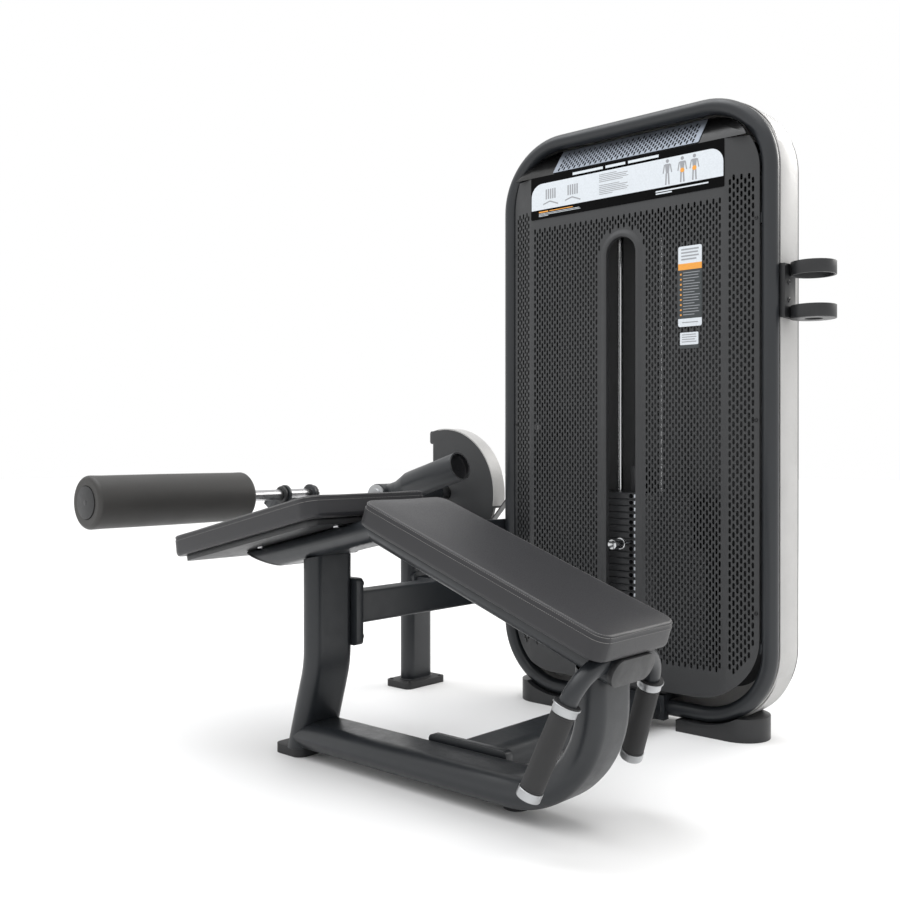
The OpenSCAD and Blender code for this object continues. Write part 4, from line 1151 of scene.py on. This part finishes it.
def guard_trim():
    """Pale edging strip pressed over the guard's round rim."""
    lo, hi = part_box("cam_guard")
    middle, half = (lo.y + hi.y) / 2, (hi.y - lo.y) / 2 / MM
    outer = [(-half - 0.8, -2.5), (-half - 0.8, 0.9), (half + 0.8, 0.9), (half + 0.8, -2.5)]
    inner = [(half + 0.1, -2.5), (half + 0.1, 0.1), (-half - 0.1, 0.1), (-half - 0.1, -2.5)]
    path = round_pivot(hi.x - PIVOT.x, middle, -10.0, 108.0, 72)
    swept(path, False, metres(outer + inner), "guard_edging", "frame", SHELL)


def tube_mouth():
    """Near-black cup inside the counterweight tube's mouth as painted shade for its hollow, and the tube's bright
    cut rim.
    """
    lo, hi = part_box("counterweight_tube")
    radius = (hi.y - lo.y) / 2
    vertices = NODES["counterweight_tube"].data.vertices
    points = [Vector((v.co.x - PIVOT.x, 0, v.co.z - PIVOT.z)) for v in vertices]
    far = max(points, key=lambda p: p.length)
    length = math.sqrt(far.length ** 2 - radius ** 2)
    turn, angle = math.atan2(radius, length), math.atan2(far.z, far.x)
    # the farthest point is on the rim's upper or lower side: the right axis has the whole rim at its end
    ways = [Vector((math.cos(angle + s * turn), 0, math.sin(angle + s * turn))) for s in (-1, 1)]
    way = max(ways, key=lambda w: sum(abs(p.dot(w) - length) < 0.3 * MM for p in points))
    end = Vector((PIVOT.x, (lo.y + hi.y) / 2, PIVOT.z)) + way * length
    outer = radius / MM
    bore = outer - 3.5
    profile = [(0, -12.6), (bore - 4, -12.6), (bore - 0.1, -11), (bore - 0.1, -0.6), (bore - 0.6, -0.6),
               (bore - 0.8, -10.6), (bore - 5, -12.0), (0, -12.0)]
    # the near-black cup is painted shade for the inside of the open tube
    verts, faces = lathe_shape(metres(profile), end, way, 64)
    made("tube_mouth_shade_cup", verts, faces, "leg_arm", BLACK_BOLT)
    rim = [(bore, -0.3), (outer - 0.6, -0.3), (outer - 0.6, 0.25), (bore, 0.25)]
    verts, faces = lathe_shape(metres(rim), end, way, 64, ring=True)
    made("tube_mouth_rim", verts, faces, "leg_arm", STEEL)


# ---------- studio ----------

def area_light(name, place, target, size, power, color):
    data = bpy.data.lights.new(name, "AREA")
    data.shape = "RECTANGLE"
    data.size, data.size_y = size
    data.energy = power
    data.color = color
    obj = linked(name, data)
    obj.location = place
    obj.rotation_euler = (Vector(target) - Vector(place)).to_track_quat("-Z", "Y").to_euler()


def studio():
    scene = bpy.context.scene
    camera = bpy.data.cameras.new("camera")
    camera.lens = 42.4
    camera.clip_end = 60.0
    view = linked("camera", camera)
    view.location = (1.696, -1.844, 0.677)
    view.rotation_euler = (math.radians(89.88), 0.0, math.radians(42.0))
    scene.camera = view

    world = bpy.data.worlds.new("studio")
    world.use_nodes = True
    background = world.node_tree.nodes["Background"].inputs
    background["Color"].default_value = (1.0, 1.0, 1.0, 1.0)
    background["Strength"].default_value = 1.0
    scene.world = world

    floor_mat = Nodes("floor")
    tone = floor_mat.ramp(floor_mat.noise(0.6), 0.3, 0.7)
    color = floor_mat.mix(tone, (0.86, 0.86, 0.86), (0.88, 0.88, 0.88))
    floor_mat.finish(color, floor_mat.ramp(tone, 0, 1, 0.6, 0.7))
    mesh = bpy.data.meshes.new("floor")
    reach = 20.0
    mesh.from_pydata([(x, y, 0) for x, y in rectangle(-reach, -reach, reach, reach)], [], [(0, 1, 2, 3)])
    mesh.materials.append(floor_mat.mat)
    floor = linked("floor", mesh)

    sun = bpy.data.lights.new("sky", "SUN")
    sun.energy = 1.2
    sun.angle = math.radians(70)
    linked("sky", sun).rotation_euler = (math.radians(8), math.radians(-6), 0)
    area_light("back_panel", (1.2, 3.4, 2.6), (0.2, 0.2, 0.7), (3.0, 1.2), 60.0, (1.0, 0.98, 0.95))
    area_light("top_panel", (-0.9, -0.5, 3.6), (0.0, 0.0, 0.5), (1.4, 3.0), 30.0, (0.95, 0.97, 1.0))
    scene.view_settings.view_transform = "Standard"


dress_cad_nodes()
front_cover()
header_plate()
instruction_label()
notices()
plate_marks()
pad("thigh_pad", THIGH_SLOPE, 30 * MM, 3 * MM)
pad("chest_pad", CHEST_SLOPE, 28 * MM, 3 * MM)
foam_roller()
grips()
welds()
screws()
belt_pieces()
tower_shade_sheets_and_flanges()
guard_trim()
tube_mouth()
studio()
